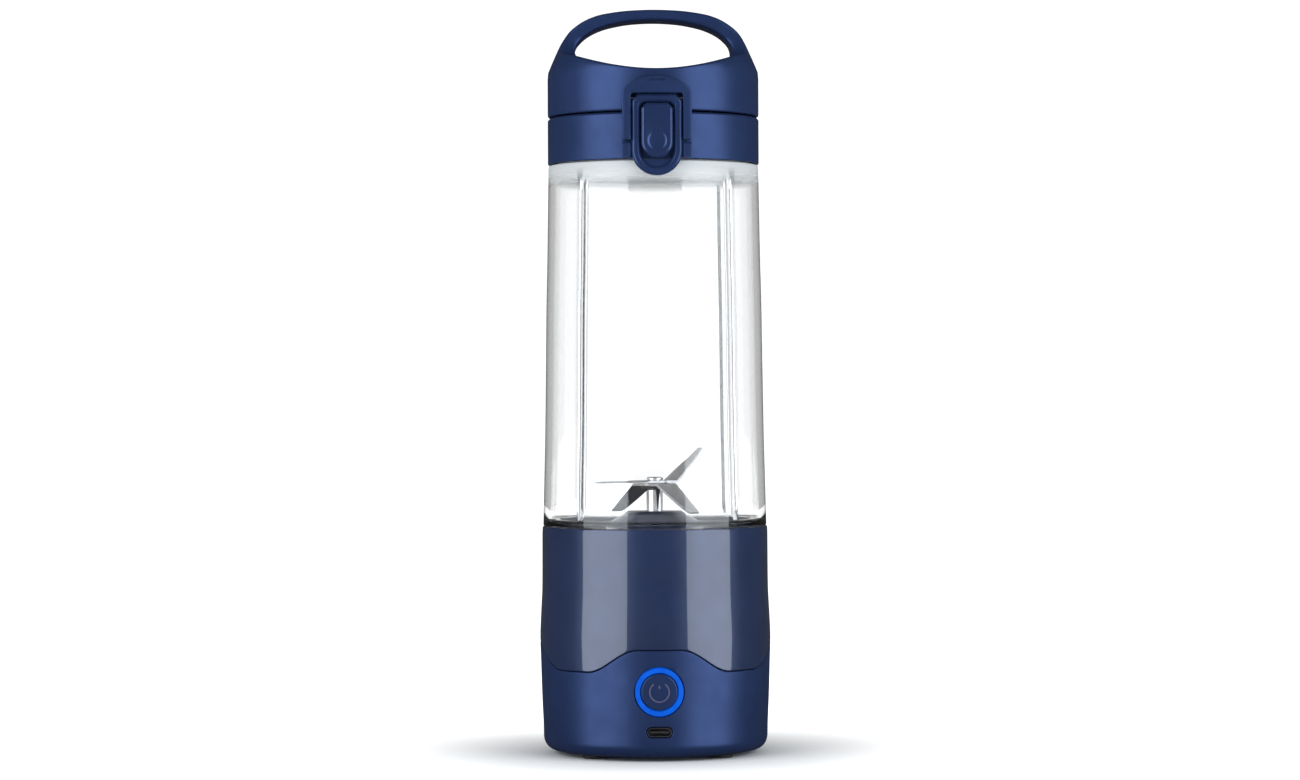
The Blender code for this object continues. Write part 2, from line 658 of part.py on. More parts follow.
def build_lock_ring():
    """An oval bail that hangs from its pin round the button, with a web across its foot below the button."""
    half = [
        ((0, 239.65), (0, 236.75), 1.4), ((6.7, 239.65), (4.9, 236.75), 1.4),
        ((9.15, 237.3), (5.95, 235.6), 1.3), ((9.15, 233), (5.95, 232.5), 1.1),
    ]
    for degrees in range(0, -91, -15):
        angle = math.radians(degrees)
        cos, sin = math.cos(angle), math.sin(angle)
        half.append(((9.15 * cos, 219.65 + 9.15 * sin), (5.95 * cos, 219.65 + 5.95 * sin), 1.1))
    stations = [(1, *row) for row in half] + [(-1, *row) for row in reversed(half[1:-1])]
    rings = []
    for side, outer, inner, thick in stations:
        outer, inner = Vector(outer), Vector(inner)
        step = (inner - outer).normalized()
        ring = []
        for edge, way in ((outer, 1), (inner, -1)):
            for sink, y in ((0.85, -thick), (0, -thick + 0.8), (0, thick - 0.8), (0.85, thick))[::way]:
                point = edge + step * sink * way
                ring.append((side * point.x, LATCH_Y + y, point.y))
        rings.append(ring)
    ring = piece("lock_ring", "navy_satin", loft(rings, looped=True))
    web = arc_points((0, 219.65), 7.2, 206, 334, 10)
    join(ring, prism(web, LATCH_Y, LATCH_Y + 0.8, "y"))
    cut(ring, disc(0.8, -10, 10, 10, "x", (0, LATCH_Y, LATCH_Z)))


def build_release_button():
    def outline(inset):
        half = 5.7 - inset
        points = [(half, 234.6), (half - 1.8, 236.4 - inset), (-half + 1.8, 236.4 - inset), (-half, 234.6)]
        return points + arc_points((0, 222.6), half, 180, 360, 10)

    levels = ((-40.95, 0), (-42.8, 0), (-43.5, 0.8))
    rings = [[(x, y, z) for x, z in outline(inset)] for y, inset in levels]
    button = piece("release_button", "navy_satin", loft(rings))
    join(button, box((-2.4, -41.5, 234.7), (2.4, -34.0, 236.0)))
    dimple = ((0, -43.05), (2.0, -43.15), (3.4, -43.55), (3.4, -45), (0, -45))
    cut(button, revolve(dimple, 16, "y", (0, 0, 222.9)))


def group_moving_pieces():
    """Each moving piece's parent stands on its joint's axis."""
    bodies = (
        ("blade_unit", (0, 0, 90), ("motor_rotor", "drive_coupler", "spindle", "blade_washer", "lower_blade",
                                    "upper_blade", "blade_nut")),
        ("power_button_slide", (0, -42, BUTTON_Z), ("power_button",)),
        ("cup_screw", (0, 0, 80), ("cup_gasket", "cup")),
        ("lid_screw", (0, 0, 225), ("lid_gasket", "lid_collar", "hinge_pin", "cap_spring")),
        ("cap_hinge", (0, HINGE_Y, HINGE_Z), ("flip_cap", "cap_liner", "spout_plug", "release_spring",
                                              "lock_ring_pin")),
        ("lock_ring_hinge", (0, LATCH_Y, LATCH_Z), ("lock_ring",)),
        ("release_button_slide", (0, -43.5, 222.9), ("release_button",)),
    )
    for name, at, members in bodies:
        pivot(name, at, *(bpy.data.objects[member] for member in members))


clear_scene()
build_lower_shell()
build_motor_housing()
build_feet_and_screws()
build_blade_base()
build_motor()
build_drive()
build_controls()
build_battery()
build_wires()
build_cup()
build_collar()
build_flip_cap()
build_cap_fittings()
build_lock_ring()
build_release_button()
group_moving_pieces()
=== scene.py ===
"""The looks of a cordless bottle blender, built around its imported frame. Lengths are millimetres."""

import json
import math

import bmesh
import bpy
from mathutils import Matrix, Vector


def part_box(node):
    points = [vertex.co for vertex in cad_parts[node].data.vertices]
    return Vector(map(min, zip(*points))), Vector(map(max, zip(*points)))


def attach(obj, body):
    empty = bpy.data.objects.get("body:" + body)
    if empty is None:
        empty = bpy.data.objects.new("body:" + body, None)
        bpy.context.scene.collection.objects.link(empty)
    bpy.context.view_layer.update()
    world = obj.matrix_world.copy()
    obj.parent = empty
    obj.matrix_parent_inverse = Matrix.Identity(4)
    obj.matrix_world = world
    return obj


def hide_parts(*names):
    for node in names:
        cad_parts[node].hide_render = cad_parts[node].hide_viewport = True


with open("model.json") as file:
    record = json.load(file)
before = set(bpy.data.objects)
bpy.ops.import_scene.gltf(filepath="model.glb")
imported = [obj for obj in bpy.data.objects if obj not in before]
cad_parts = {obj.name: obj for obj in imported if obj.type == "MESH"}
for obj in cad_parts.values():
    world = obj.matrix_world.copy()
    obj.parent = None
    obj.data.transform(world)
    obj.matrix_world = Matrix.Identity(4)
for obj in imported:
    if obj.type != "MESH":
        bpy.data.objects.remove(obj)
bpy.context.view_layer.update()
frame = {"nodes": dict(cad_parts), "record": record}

MM = 0.001
COLUMNS = 216


def low(node):
    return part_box(node)[0] / MM


def high(node):
    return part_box(node)[1] / MM


def middle(node):
    return (low(node) + high(node)) / 2


# Places read from the frame
BASE_TOP = high("motor_housing").z
BASE_BOTTOM = low("lower_shell").z
SEAL_GAP = 0.25
WELL_FLOOR = low("cup_gasket").z - SEAL_GAP
DOME_TOP = high("blade_base").z
CUP_BOTTOM, CUP_TOP = low("cup").z, high("cup").z
COLLAR_BOTTOM = low("lid_collar").z
COLLAR_TALL = 16.8
COLLAR_TOP = COLLAR_BOTTOM + COLLAR_TALL
CAP_SEAM = 0.6
CAP_BOTTOM = COLLAR_TOP + CAP_SEAM
LID_RADIUS = high("lid_collar").x
HANDLE_TOP = high("flip_cap").z
BUTTON_Z = middle("power_button").z
USB_Z = middle("usb_port").z
HINGE_Y, HINGE_Z = middle("hinge_pin").yz
LATCH_Y, LATCH_Z = middle("lock_ring_pin").yz

# Outer radius of the base and of the cup by height
BASE_RADII = (
    (6.5, 41.3), (12.7, 41.5), (21.6, 41.9), (33.5, 42.25), (42.4, 42.5), (48, 42.35), (54, 42.05),
    (60, 41.75), (68, 41.65), (80, 41.6), (83.5, 41.5),
)
CUP_RADII = ((86, 41.15), (100, 40.8), (115, 40.4), (138, 40.05), (165, 39.7), (182, 39.3), (215.3, 38.75))

# Inside of the cup from its neck down to the wall, and from the wall down to its foot
NECK_STEP = (
    (32.95, 222), (32.95, 216.0), (33.1, 215.45), (33.6, 215.1), (35.4, 214.9), (36.0, 214.7),
    (36.25, 214.2), (36.3, 213.0),
)
FOOT_STEP = (
    (38.58, 92), (38.66, 89), (38.7, 86.6), (38.55, 85.9), (38.1, 85.5), (36.2, 85.3), (35.6, 85.05),
    (35.4, 84.5), (35.4, 83.0),
)
CUP_WALL = 2.45
RIB_DEPTH, RIB_LOW, RIB_HIGH = 1.75, 86.5, 213.5
# Heights of the neck band, frosted and greyed as painted shade under the lid
FROST_AND_SHADE_START, FROST_AND_SHADE_END = 0.2085, 0.2145

BASE_WALL = 2.2
PARTING_GAP = 0.15
LIP_EDGE = 0.35
BUTTON_HOLE = 9.0
MARK_RADIUS, MARK_HALF, MARK_LIFT = 3.5, 0.3, 0.07
BLADE_REACH, BLADE_BEND, BLADE_HUB, BLADE_BORE = 25.3, 6.5, 5.6, 2.45
HINGE_EYE, HINGE_BORE = 2.2, 1.35
HOOD_FRONT = 42.3
HOOD_OUT, HOOD_IN = 12.5, 9.45
LATCH_BORE = 0.8
RING_FOOT_Z = 219.65
DISH_LOW, DISH_CURVE = 249.3, 138.0
CAP_CEILING = 246.0

# Root and crest radius, lowest height, lead, starts and turn in degrees of each thread
CUP_THREAD = (37.8, 38.8, 75.4, 12.0, 3, 90)
BASE_THREAD = (39.2, 38.2, 77.4, 12.0, 3, 90)
NECK_THREAD = (35.3, 36.2, 219.3, 9.0, 2, 150)
COLLAR_THREAD = (36.6, 35.7, 221.55, 9.0, 2, 150)


# Curves and outlines


def ease(t):
    t = min(max(t, 0.0), 1.0)
    return t * t * (3 - 2 * t)


def through(points, steps):
    """A smooth open curve through points of any dimension."""
    points = [Vector(p) for p in points]
    ends = [2 * points[0] - points[1], *points, 2 * points[-1] - points[-2]]
    curve = []
    for i in range(len(points) - 1):
        a, b, c, d = ends[i : i + 4]
        for j in range(steps):
            t = j / steps
            square = (2 * a - 5 * b + 4 * c - d) * t**2
            cube = (3 * b - a - 3 * c + d) * t**3
            curve.append(0.5 * (2 * b + (c - a) * t + square + cube))
    return [*curve, points[-1]]


def fine_table(table):
    return [tuple(p) for p in through(table, 8)]


BASE_CURVE = fine_table(BASE_RADII)
CUP_CURVE = fine_table(CUP_RADII)


def between(table, at):
    """Linear reading of a table of (position, value)."""
    if at <= table[0][0]:
        return table[0][1]
    for (start, first), (end, second) in zip(table, table[1:]):
        if at <= end:
            return first + (second - first) * (at - start) / (end - start)
    return table[-1][1]


def rounded(corners, steps=4):
    """A closed outline whose corners (u, v, radius) are turned into arcs."""
    outline = []
    for i, corner in enumerate(corners):
        here = Vector(corner[:2])
        if len(corner) < 3:
            outline.append(tuple(here))
            continue
        before = Vector(corners[i - 1][:2]) - here
        after = Vector(corners[(i + 1) % len(corners)][:2]) - here
        half = before.angle(after) / 2
        back = min(corner[2] / math.tan(half), before.length * 0.48, after.length * 0.48)
        start, end = here + before.normalized() * back, here + after.normalized() * back
        for j in range(steps + 1):
            t = j / steps
            outline.append(tuple((1 - t) ** 2 * start + 2 * t * (1 - t) * here + t * t * end))
    return outline


def arc_points(centre, radius, first, last, steps):
    points = []
    for i in range(steps + 1):
        angle = math.radians(first + (last - first) * i / steps)
        points.append((centre[0] + radius * math.cos(angle), centre[1] + radius * math.sin(angle)))
    return points


def stadium(half_width, half_height, centre=0.0, steps=14):
    """Outline of a slot with round ends, wider than it is tall."""
    reach = half_width - half_height
    right = arc_points((reach, centre), half_height, -90, 90, steps)
    left = arc_points((-reach, centre), half_height, 90, 270, steps)
    return right + left


# Shapes: (points, faces)


def place(u, v, t, along, at):
    across = {"x": (t, u, v), "y": (u, t, v), "z": (u, v, t)}[along]
    return tuple(a + b for a, b in zip(across, at))


def loft(rings, looped=False):
    count = len(rings[0])
    faces = []
    for i in range(len(rings) if looped else len(rings) - 1):
        near, far = i * count, (i + 1) % len(rings) * count
        for j in range(count):
            k = (j + 1) % count
            faces.append((near + j, near + k, far + k, far + j))
    if not looped:
        last = (len(rings) - 1) * count
        faces += [tuple(range(count)), tuple(range(last, last + count))]
    return [tuple(point) for ring in rings for point in ring], faces


def turned(profile, columns=COLUMNS, along="z", at=(0, 0, 0)):
    """Turns a closed profile of (radius, height) about an axis. A function of the angle may give it."""
    angles = columns if isinstance(columns, list) else [math.tau * i / columns for i in range(columns)]
    rings = []
    for angle in angles:
        section = profile(angle) if callable(profile) else profile
        cos, sin = math.cos(angle), math.sin(angle)
        rings.append([place(r * cos, r * sin, t, along, at) for r, t in section])
    return loft(rings, looped=True)


def disc(radius, start, end, columns=48, along="z", at=(0, 0, 0)):
    return turned(((0, start), (radius, start), (radius, end), (0, end)), columns, along, at)


def prism(outline, start, end, along="z"):
    return loft([[place(u, v, t, along, (0, 0, 0)) for u, v in outline] for t in (start, end)])


def box(near, far):
    outline = ((near[0], near[1]), (far[0], near[1]), (far[0], far[1]), (near[0], far[1]))
    return prism(outline, near[2], far[2])


def tube(path, radius, sides=12):
    """A round wire along a path of points."""
    path = [Vector(point) for point in path]
    rings = []
    side = None
    for i, point in enumerate(path):
        ahead = (path[min(i + 1, len(path) - 1)] - path[max(i - 1, 0)]).normalized()
        side = side or ahead.orthogonal()
        side = (side - ahead * side.dot(ahead)).normalized()
        up = ahead.cross(side)
        turns = [math.tau * j / sides for j in range(sides)]
        rings.append([point + radius * (math.cos(a) * side + math.sin(a) * up) for a in turns])
    return loft(rings)


# Objects


def solid(name, *shapes):
    points, faces = [], []
    for shape_points, shape_faces in shapes:
        first = len(points)
        points += [Vector(point) * MM for point in shape_points]
        faces += [tuple(first + i for i in face) for face in shape_faces]
    mesh = bpy.data.meshes.new(name)
    mesh.from_pydata(points, [], faces)
    form = bmesh.new()
    form.from_mesh(mesh)
    bmesh.ops.remove_doubles(form, verts=form.verts, dist=1e-7)
    bmesh.ops.recalc_face_normals(form, faces=form.faces)
    form.to_mesh(mesh)
    form.free()
    thing = bpy.data.objects.new(name, mesh)
    bpy.context.scene.collection.objects.link(thing)
    return thing


def apply_modifiers(thing):
    graph = bpy.context.evaluated_depsgraph_get()
    mesh = bpy.data.meshes.new_from_object(thing.evaluated_get(graph))
    thing.modifiers.clear()
    thing.data = mesh


def soften(thing, width, angle=28, segments=3):
    """Rounds the edges sharper than an angle."""
    step = thing.modifiers.new("soften", "BEVEL")
    step.width = width * MM
    step.segments = segments
    step.limit_method = "ANGLE"
    step.angle_limit = math.radians(angle)
    step.use_clamp_overlap = True
    apply_modifiers(thing)
    return thing


def combine(thing, operation, others):
    for other in others:
        step = thing.modifiers.new("combine", "BOOLEAN")
        step.operation = operation
        step.solver = "EXACT"
        step.object = other
        apply_modifiers(thing)
        bpy.data.objects.remove(other)


def join(thing, *others):
    combine(thing, "UNION", others)


def cut(thing, *others):
    combine(thing, "DIFFERENCE", others)


def dress(thing, body, slot, material, *nodes, sharp=32):
    """Gives a piece its material and its place in the frame."""
    thing.data.shade_smooth()
    thing.data.set_sharp_from_angle(angle=math.radians(sharp))
    thing.data.materials.clear()
    thing.data.materials.append(material)
    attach(thing, body)
    if nodes:
        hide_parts(*nodes)
    return thing


# Materials


class Finish:
    """A material built from nodes on the shader's sockets."""

    def __init__(self, name, **constants):
        self.material = bpy.data.materials.new(name)
        self.material.use_nodes = True
        self.tree = self.material.node_tree
        self.shader = self.tree.nodes["Principled BSDF"]
        self.place = self.tree.nodes.new("ShaderNodeTexCoord").outputs["Object"]
        for socket, value in constants.items():
            self.shader.inputs[socket.replace("_", " ")].default_value = value

    def node(self, kind, **values):
        made = self.tree.nodes.new(kind)
        for name, value in values.items():
            setattr(made, name, value)
        return made

    def link(self, source, target):
        self.tree.links.new(source, target)

    def math(self, operation, *sources):
        made = self.node("ShaderNodeMath", operation=operation)
        for socket, source in zip(made.inputs, sources):
            self.link(source, socket)
        return made.outputs[0]

    def stretched(self, scale):
        mapping = self.node("ShaderNodeMapping")
        mapping.inputs["Scale"].default_value = scale
        self.link(self.place, mapping.inputs["Vector"])
        return mapping.outputs["Vector"]

    def noise(self, scale, detail=3.0, roughness=0.55, stretch=None):
        made = self.node("ShaderNodeTexNoise")
        made.inputs["Scale"].default_value = scale
        made.inputs["Detail"].default_value = detail
        made.inputs["Roughness"].default_value = roughness
        self.link(self.stretched(stretch) if stretch else self.place, made.inputs["Vector"])
        return made.outputs["Fac"]

    def spread(self, source, low_value, high_value, start=0.3, end=0.7):
        made = self.node("ShaderNodeMapRange")
        made.inputs["From Min"].default_value = start
        made.inputs["From Max"].default_value = end
        made.inputs["To Min"].default_value = low_value
        made.inputs["To Max"].default_value = high_value
        self.link(source, made.inputs["Value"])
        return made.outputs["Result"]

    def color(self, source, first, second, start=0.3, end=0.7):
        ramp = self.node("ShaderNodeValToRGB")
        ramp.color_ramp.elements[0].position = start
        ramp.color_ramp.elements[0].color = (*first, 1)
        ramp.color_ramp.elements[1].position = end
        ramp.color_ramp.elements[1].color = (*second, 1)
        self.link(source, ramp.inputs["Fac"])
        self.link(ramp.outputs["Color"], self.shader.inputs["Base Color"])

    def roughness(self, source, smooth, rough):
        self.link(self.spread(source, smooth, rough), self.shader.inputs["Roughness"])

    def bump(self, *layers):
        """Fine relief from (source, depth in millimetres) pairs, one over another."""
        normal = None
        for source, depth in layers:
            made = self.node("ShaderNodeBump")
            made.inputs["Strength"].default_value = 1.0
            made.inputs["Distance"].default_value = depth * MM
            self.link(source, made.inputs["Height"])
            if normal:
                self.link(normal, made.inputs["Normal"])
            normal = made.outputs["Normal"]
        self.link(normal, self.shader.inputs["Normal"])


def shade(color, factor):
    return tuple(min(1.0, value * factor) for value in color)


# Grey of the frosted neck band: painted shade under the lid
NECK_PAINTED_SHADE_GREY = (0.46, 0.48, 0.49)
MARK = (0.055, 0.055, 0.12)
NAVY = (0.021, 0.041, 0.122)


def navy_satin(name="navy_satin", smooth=0.34, rough=0.42, specular=0.25):
    """Moulded navy with a fine spark-eroded grain and a slight metallic flake."""
    finish = Finish(name, Metallic=0.55, Specular_IOR_Level=specular)
    finish.color(finish.noise(55, 4), shade(NAVY, 0.93), shade(NAVY, 1.07))
    finish.roughness(finish.noise(160, 3), smooth, rough)
    finish.bump((finish.noise(2600, 2), 0.006), (finish.noise(240, 2), 0.008))
    return finish.material


def navy_gloss():
    """The same navy under a clear glossy coat."""
    finish = Finish("navy_gloss", Metallic=0.35, Coat_Weight=1.0, Coat_Roughness=0.035, Coat_IOR=1.5)
    finish.color(finish.noise(55, 4), shade(NAVY, 0.62), shade(NAVY, 0.72))
    finish.roughness(finish.noise(160, 3), 0.3, 0.38)
    finish.bump((finish.noise(900, 2), 0.0012), (finish.noise(90, 2), 0.004))
    return finish.material


def clear_plastic():
    """Clear copolyester, frosted round the neck. Its grey is painted shade: grey bars along the ribs stand in
    for the dark refraction in them, and the frosted neck is greyed as shade under the lid.
    """
    finish = Finish("clear_cup", Transmission_Weight=1.0, IOR=1.5)
    split = finish.node("ShaderNodeSeparateXYZ")
    finish.link(finish.place, split.inputs[0])
    across = [finish.math("ABSOLUTE", split.outputs[axis]) for axis in ("X", "Y")]
    off = finish.math("ABSOLUTE", finish.math("SUBTRACT", *across))
    # painted shade: grey bars along the ribs, standing in for their dark refraction
    rib = finish.spread(off, 0.0, 0.55, 0.0024, 0.0016)
    body = finish.spread(finish.noise(30, 2), 0.94, 1.0)
    # the neck band: frosted through its transmission and roughness, and greyed as painted shade under the lid
    neck = finish.spread(split.outputs["Z"], 0.0, 1.0, FROST_AND_SHADE_START, FROST_AND_SHADE_END)
    painted_shade_amount = finish.math("ADD", rib, neck)
    finish.color(finish.math("SUBTRACT", body, painted_shade_amount), NECK_PAINTED_SHADE_GREY, (0.99, 0.995, 1.0), 0.0, 0.95)
    finish.link(finish.spread(neck, 1.0, 0.1, 0.0, 1.0), finish.shader.inputs["Transmission Weight"])
    haze = finish.spread(neck, 0.0, 0.45, 0.0, 1.0)
    haze = finish.math("ADD", haze, finish.spread(finish.noise(70, 3), 0.0, 0.03))
    finish.link(haze, finish.shader.inputs["Roughness"])
    finish.bump((finish.noise(60, 2, stretch=(1, 1, 0.25)), 0.01),)
    return finish.material


def steel(name, color, smooth, rough, grain, depth, stretch):
    """Metal with a directional grain."""
    finish = Finish(name, Metallic=1.0)
    finish.color(finish.noise(140, 4), shade(color, 0.88), shade(color, 1.08))
    lines = finish.noise(grain, 4, 0.6, stretch)
    finish.roughness(lines, smooth, rough)
    finish.bump((lines, depth), (finish.noise(380, 2), 0.004))
    return finish.material


def moulded(name, color, smooth, rough, grain=1400, depth=0.012, **constants):
    """Plastic, rubber or silicone with a fine grain."""
    finish = Finish(name, **constants)
    finish.color(finish.noise(75, 4), shade(color, 0.86), shade(color, 1.14))
    finish.roughness(finish.noise(220, 3), smooth, rough)
    finish.bump((finish.noise(grain, 3), depth),)
    return finish.material


def lit_ring():
    """Light guide of the ring, slightly uneven in brightness."""
    finish = Finish("led_blue", Emission_Strength=0.45, Specular_IOR_Level=0.1)
    cells = finish.noise(330, 1)
    finish.color(cells, (0.0, 0.03, 0.2), (0.0, 0.04, 0.26))
    ramp = finish.node("ShaderNodeValToRGB")
    ramp.color_ramp.elements[0].position = 0.3
    ramp.color_ramp.elements[0].color = (0.0, 0.12, 0.86, 1)
    ramp.color_ramp.elements[1].position = 0.7
    ramp.color_ramp.elements[1].color = (0.001, 0.16, 1.0, 1)
    finish.link(cells, ramp.inputs["Fac"])
    finish.link(ramp.outputs["Color"], finish.shader.inputs["Emission Color"])
    finish.roughness(finish.noise(300, 2), 0.25, 0.4)
    finish.bump((finish.noise(1200, 2), 0.004),)
    return finish.material


def circuit_board():
    """Green solder mask over tracks."""
    finish = Finish("board", Coat_Weight=0.3, Coat_Roughness=0.2)
    tracks = finish.node("ShaderNodeTexBrick")
    tracks.inputs["Scale"].default_value = 420
    tracks.inputs["Mortar Size"].default_value = 0.03
    finish.link(finish.place, tracks.inputs["Vector"])
    finish.color(tracks.outputs["Fac"], (0.012, 0.13, 0.05), (0.03, 0.24, 0.09), 0.0, 1.0)
    finish.roughness(finish.noise(300, 2), 0.35, 0.5)
    finish.bump((tracks.outputs["Fac"], 0.03), (finish.noise(2000, 2), 0.004))
    return finish.material


FINISHES = {
    "navy_gloss": navy_gloss(),
    "navy_satin": navy_satin(),
    "clear_cup": clear_plastic(),
    "blade_steel": steel("blade_steel", (0.36, 0.36, 0.37), 0.24, 0.4, 900, 0.006, (1, 6, 1)),
    "spindle_steel": steel("spindle_steel", (0.66, 0.66, 0.67), 0.08, 0.2, 700, 0.003, (1, 1, 8)),
    "plain_steel": steel("plain_steel", (0.5, 0.5, 0.52), 0.28, 0.45, 800, 0.006, (1, 1, 5)),
    "copper": steel("copper", (0.72, 0.38, 0.22), 0.3, 0.5, 1500, 0.02, (1, 1, 6)),
    "black_rubber": moulded("black_rubber", (0.018, 0.018, 0.02), 0.7, 0.9, 1800, 0.02),
    "silicone": moulded("silicone", (0.72, 0.73, 0.75), 0.42, 0.58, 1200, 0.01, Subsurface_Weight=0.15),
    "led_blue": lit_ring(),
    "black_plastic": moulded("black_plastic", (0.02, 0.02, 0.023), 0.42, 0.56),
    "board": circuit_board(),
    "cell_wrap": moulded("cell_wrap", (0.03, 0.25, 0.5), 0.25, 0.35, 500, 0.01, Coat_Weight=0.4),
    "magnet": moulded("magnet", (0.09, 0.09, 0.1), 0.6, 0.8, 2200, 0.03),
    "wire_red": moulded("wire_red", (0.5, 0.02, 0.02), 0.4, 0.55),
    "wire_black": moulded("wire_black", (0.022, 0.022, 0.025), 0.4, 0.55),
}


LATCH_FINISH = navy_satin("navy_latch", 0.2, 0.27, 0.5)


def kit(thing, body, slot, *nodes, sharp=32):
    return dress(thing, body, slot, FINISHES[slot], *nodes, sharp=sharp)


def inner_finishes():
    """The CAD nodes that stay take the material of their slot in the record."""
    for row in frame["record"]["subparts"]:
        thing = frame["nodes"][row["node"]]
        thing.data.materials.clear()
        thing.data.materials.append(FINISHES[row["material_slot"]])


# The base


def from_front(angle):
    """Degrees away from the front or the back, whichever is nearer, of an angle about the axis."""
    away = abs((math.degrees(angle) - 270 + 180) % 360 - 180)
    return min(away, 180 - away)


def parting(angle):
    """Height of the wavy line where the lower shell meets the motor housing."""
    away = from_front(angle)
    if away < 10:
        return 40.3
    if away < 37.5:
        return 36.15 + 4.15 * math.cos(math.pi * (away - 10) / 27.5)
    if away < 55:
        return 32.0
    return 36.65 - 4.65 * math.cos(math.pi * (away - 55) / 35)


def wall(curve, start, end, steps, inset=0.0):
    """Points up a wall whose radius a curve gives by height."""
    heights = [start + (end - start) * i / steps for i in range(steps + 1)]
    return [(between(curve, z) - inset, z) for z in heights]


def foot_places():
    for side in ("left", "right"):
        for end in ("front", "rear"):
            centre = middle(f"foot_{end}_{side}")
            yield f"{end}_{side}", (centre.x, centre.y, 0)


def skin(x, z):
    """How far forward of the axis the lower shell's outside is."""
    return math.sqrt(between(BASE_CURVE, z) ** 2 - x * x)


def build_lower_shell():
    def profile(angle):
        top = parting(angle) - PARTING_GAP
        outer = between(BASE_CURVE, top)
        turns = [math.pi / 24 * i for i in range(13)]
        foot = [(37.2 + 4.1 * math.sin(turn), 6.5 - 5.0 * math.cos(turn)) for turn in turns]
        inner = outer - BASE_WALL
        lip = rounded([(outer, top - 1), (outer, top, LIP_EDGE), (inner, top, LIP_EDGE), (39.7, 21.6)])
        return (
            [(0, BASE_BOTTOM), (20, BASE_BOTTOM), (34, BASE_BOTTOM)] + foot
            + wall(BASE_CURVE, 6.5, top - 1, 14)[1:-1] + lip + [(39.1, 6.5), (37.6, 3.7), (0, 3.7)]
        )

    shell = solid("base_lower_shell", turned(profile))
    join(shell, *(solid("boss", disc(3.9, 3.0, 8.0, at=at)) for _, at in foot_places()))
    well = rounded([(0, 0), (4.6, 0), (4.6, 1.45), (4.3, 1.75, 0.3), (4.3, 2.5), (3.1, 2.5), (3.1, 5.4),
                    (1.8, 5.4), (1.8, 9), (0, 9)])
    cut(shell, *(solid("well", turned(well, 48, at=at)) for _, at in foot_places()))

    def button_hole(angle):
        front = ring_front(BUTTON_HOLE, angle)
        bevel = ((0, 0.4), (0.08, 0.18), (0.28, 0.02), (0.6, -0.1))
        edge = [(BUTTON_HOLE + out, front + back) for out, back in bevel]
        return [(0, -36), (BUTTON_HOLE, -36), *edge, (BUTTON_HOLE + 0.6, -45), (0, -45)]

    cut(shell, solid("button_hole", turned(button_hole, 144, "y", (0, 0, BUTTON_Z))))
    cut(shell, solid("port_hole", port_hole()))
    kit(shell, "base", "navy_satin", "lower_shell")


def port_hole():
    rings = []
    for depth, grown in ((5.9, 0), (0.4, 0), (0.16, 0.08), (0.0, 0.26), (-0.3, 0.5), (-3, 0.5)):
        outline = stadium(4.8 + grown, 1.95 + grown, USB_Z)
        rings.append([(x, -skin(x, z) + depth, z) for x, z in outline])
    return loft(rings)


def ridge(angle, z, thread):
    """How far a thread's crest stands off its wall at an angle and a height."""
    root, tip, start_z, lead, starts, turn = thread
    rise = 0.0
    for start in range(starts):
        along = (math.degrees(angle) - 360 * start / starts - 3) % 360
        if along > turn:
            continue
        off = abs(z - start_z - lead * along / 360)
        fade = min(1.0, 8 * along / turn, 8 * (turn - along) / turn)
        rise = max(rise, fade * min(1.0, max(0.0, (0.75 - off) / 0.35)))
    return root + (tip - root) * rise


def threaded(angle, thread, start, end, steps):
    heights = [start + (end - start) * i / steps for i in range(steps + 1)]
    return [(ridge(angle, z, thread), z) for z in heights]


def build_motor_housing():
    def profile(angle):
        start = parting(angle) + PARTING_GAP
        outer = between(BASE_CURVE, start)
        lip = rounded([(outer - 2.6, start, 0.1), (outer, start, LIP_EDGE), (outer, start + 1)])[:-1]
        rim = rounded([(41.54, 82.0), (41.5, BASE_TOP, 0.55), (39.8, BASE_TOP, 0.3),
                       (BASE_THREAD[0], 82.9, 0.3), (BASE_THREAD[0], 81.5)], 6)
        return (
            lip + wall(BASE_CURVE, start + 1, 81.5, 20) + rim
            + threaded(angle, BASE_THREAD, 81.0, 75.8, 26)
            + [(39.2, 68.9), (36.8, 68.9), (36.8, 66.9), (39.2, 65.5), (39.7, 54), (39.9, 46),
               (outer - 4.0, start + 1.5), (outer - 4.0, start - 3), (outer - 2.7, start - 3)]
        )

    housing = solid("base_motor_housing", turned(profile, 240))
    for _, at in foot_places():
        join(housing, solid("rib", column_rib(at)), solid("column", disc(3.6, 8.4, 66.0, 32, at=at)))
    cut(housing, *(solid("bore", disc(1.8, 8, 18, 24, at=at)) for _, at in foot_places()))
    kit(housing, "base", "navy_gloss", "motor_housing")


def column_rib(at):
    """A web from a screw column out to the housing wall."""
    out = Vector(at[:2]).normalized()
    across = Vector((-out.y, out.x)) * 0.8
    rings = []
    for z, reach in ((48.0, 40.6), (67.8, 38.2)):
        corners = (out * 34 - across, out * reach - across, out * reach + across, out * 34 + across)
        rings.append([(p.x, p.y, z) for p in corners])
    return loft(rings)


def mount_posts():
    return [(22 * math.cos(a), 22 * math.sin(a), 0) for a in (math.tau * (i / 3 + 0.25) for i in range(3))]


def build_dome():
    profile = rounded(
        [
            (38.8, 69.1, 0.2), (38.8, WELL_FLOOR, 0.4), (30.2, WELL_FLOOR, 2.0), (17.3, 81.9),
            (11.2, 88.2, 1.2), (9.9, DOME_TOP, 0.8), (3.6, DOME_TOP, 0.3), (3.6, 88.5), (6.9, 88.5),
            (6.9, 84.9), (8.9, 84.9), (8.9, 72.5), (11.4, 72.5), (11.4, 80.2), (15.9, 80.2), (28.8, 69.1),
        ],
        6,
    )
    dome = solid("blade_base_dome", turned(profile, 160))
    join(dome, *(solid("post", disc(3.0, 66.6, 76.3, 32, at=at)) for at in mount_posts()))
    cut(dome, *(solid("bore", disc(1.4, 66, 74, 24, at=at)) for at in mount_posts()))
    kit(dome, "base", "navy_gloss", "blade_base")


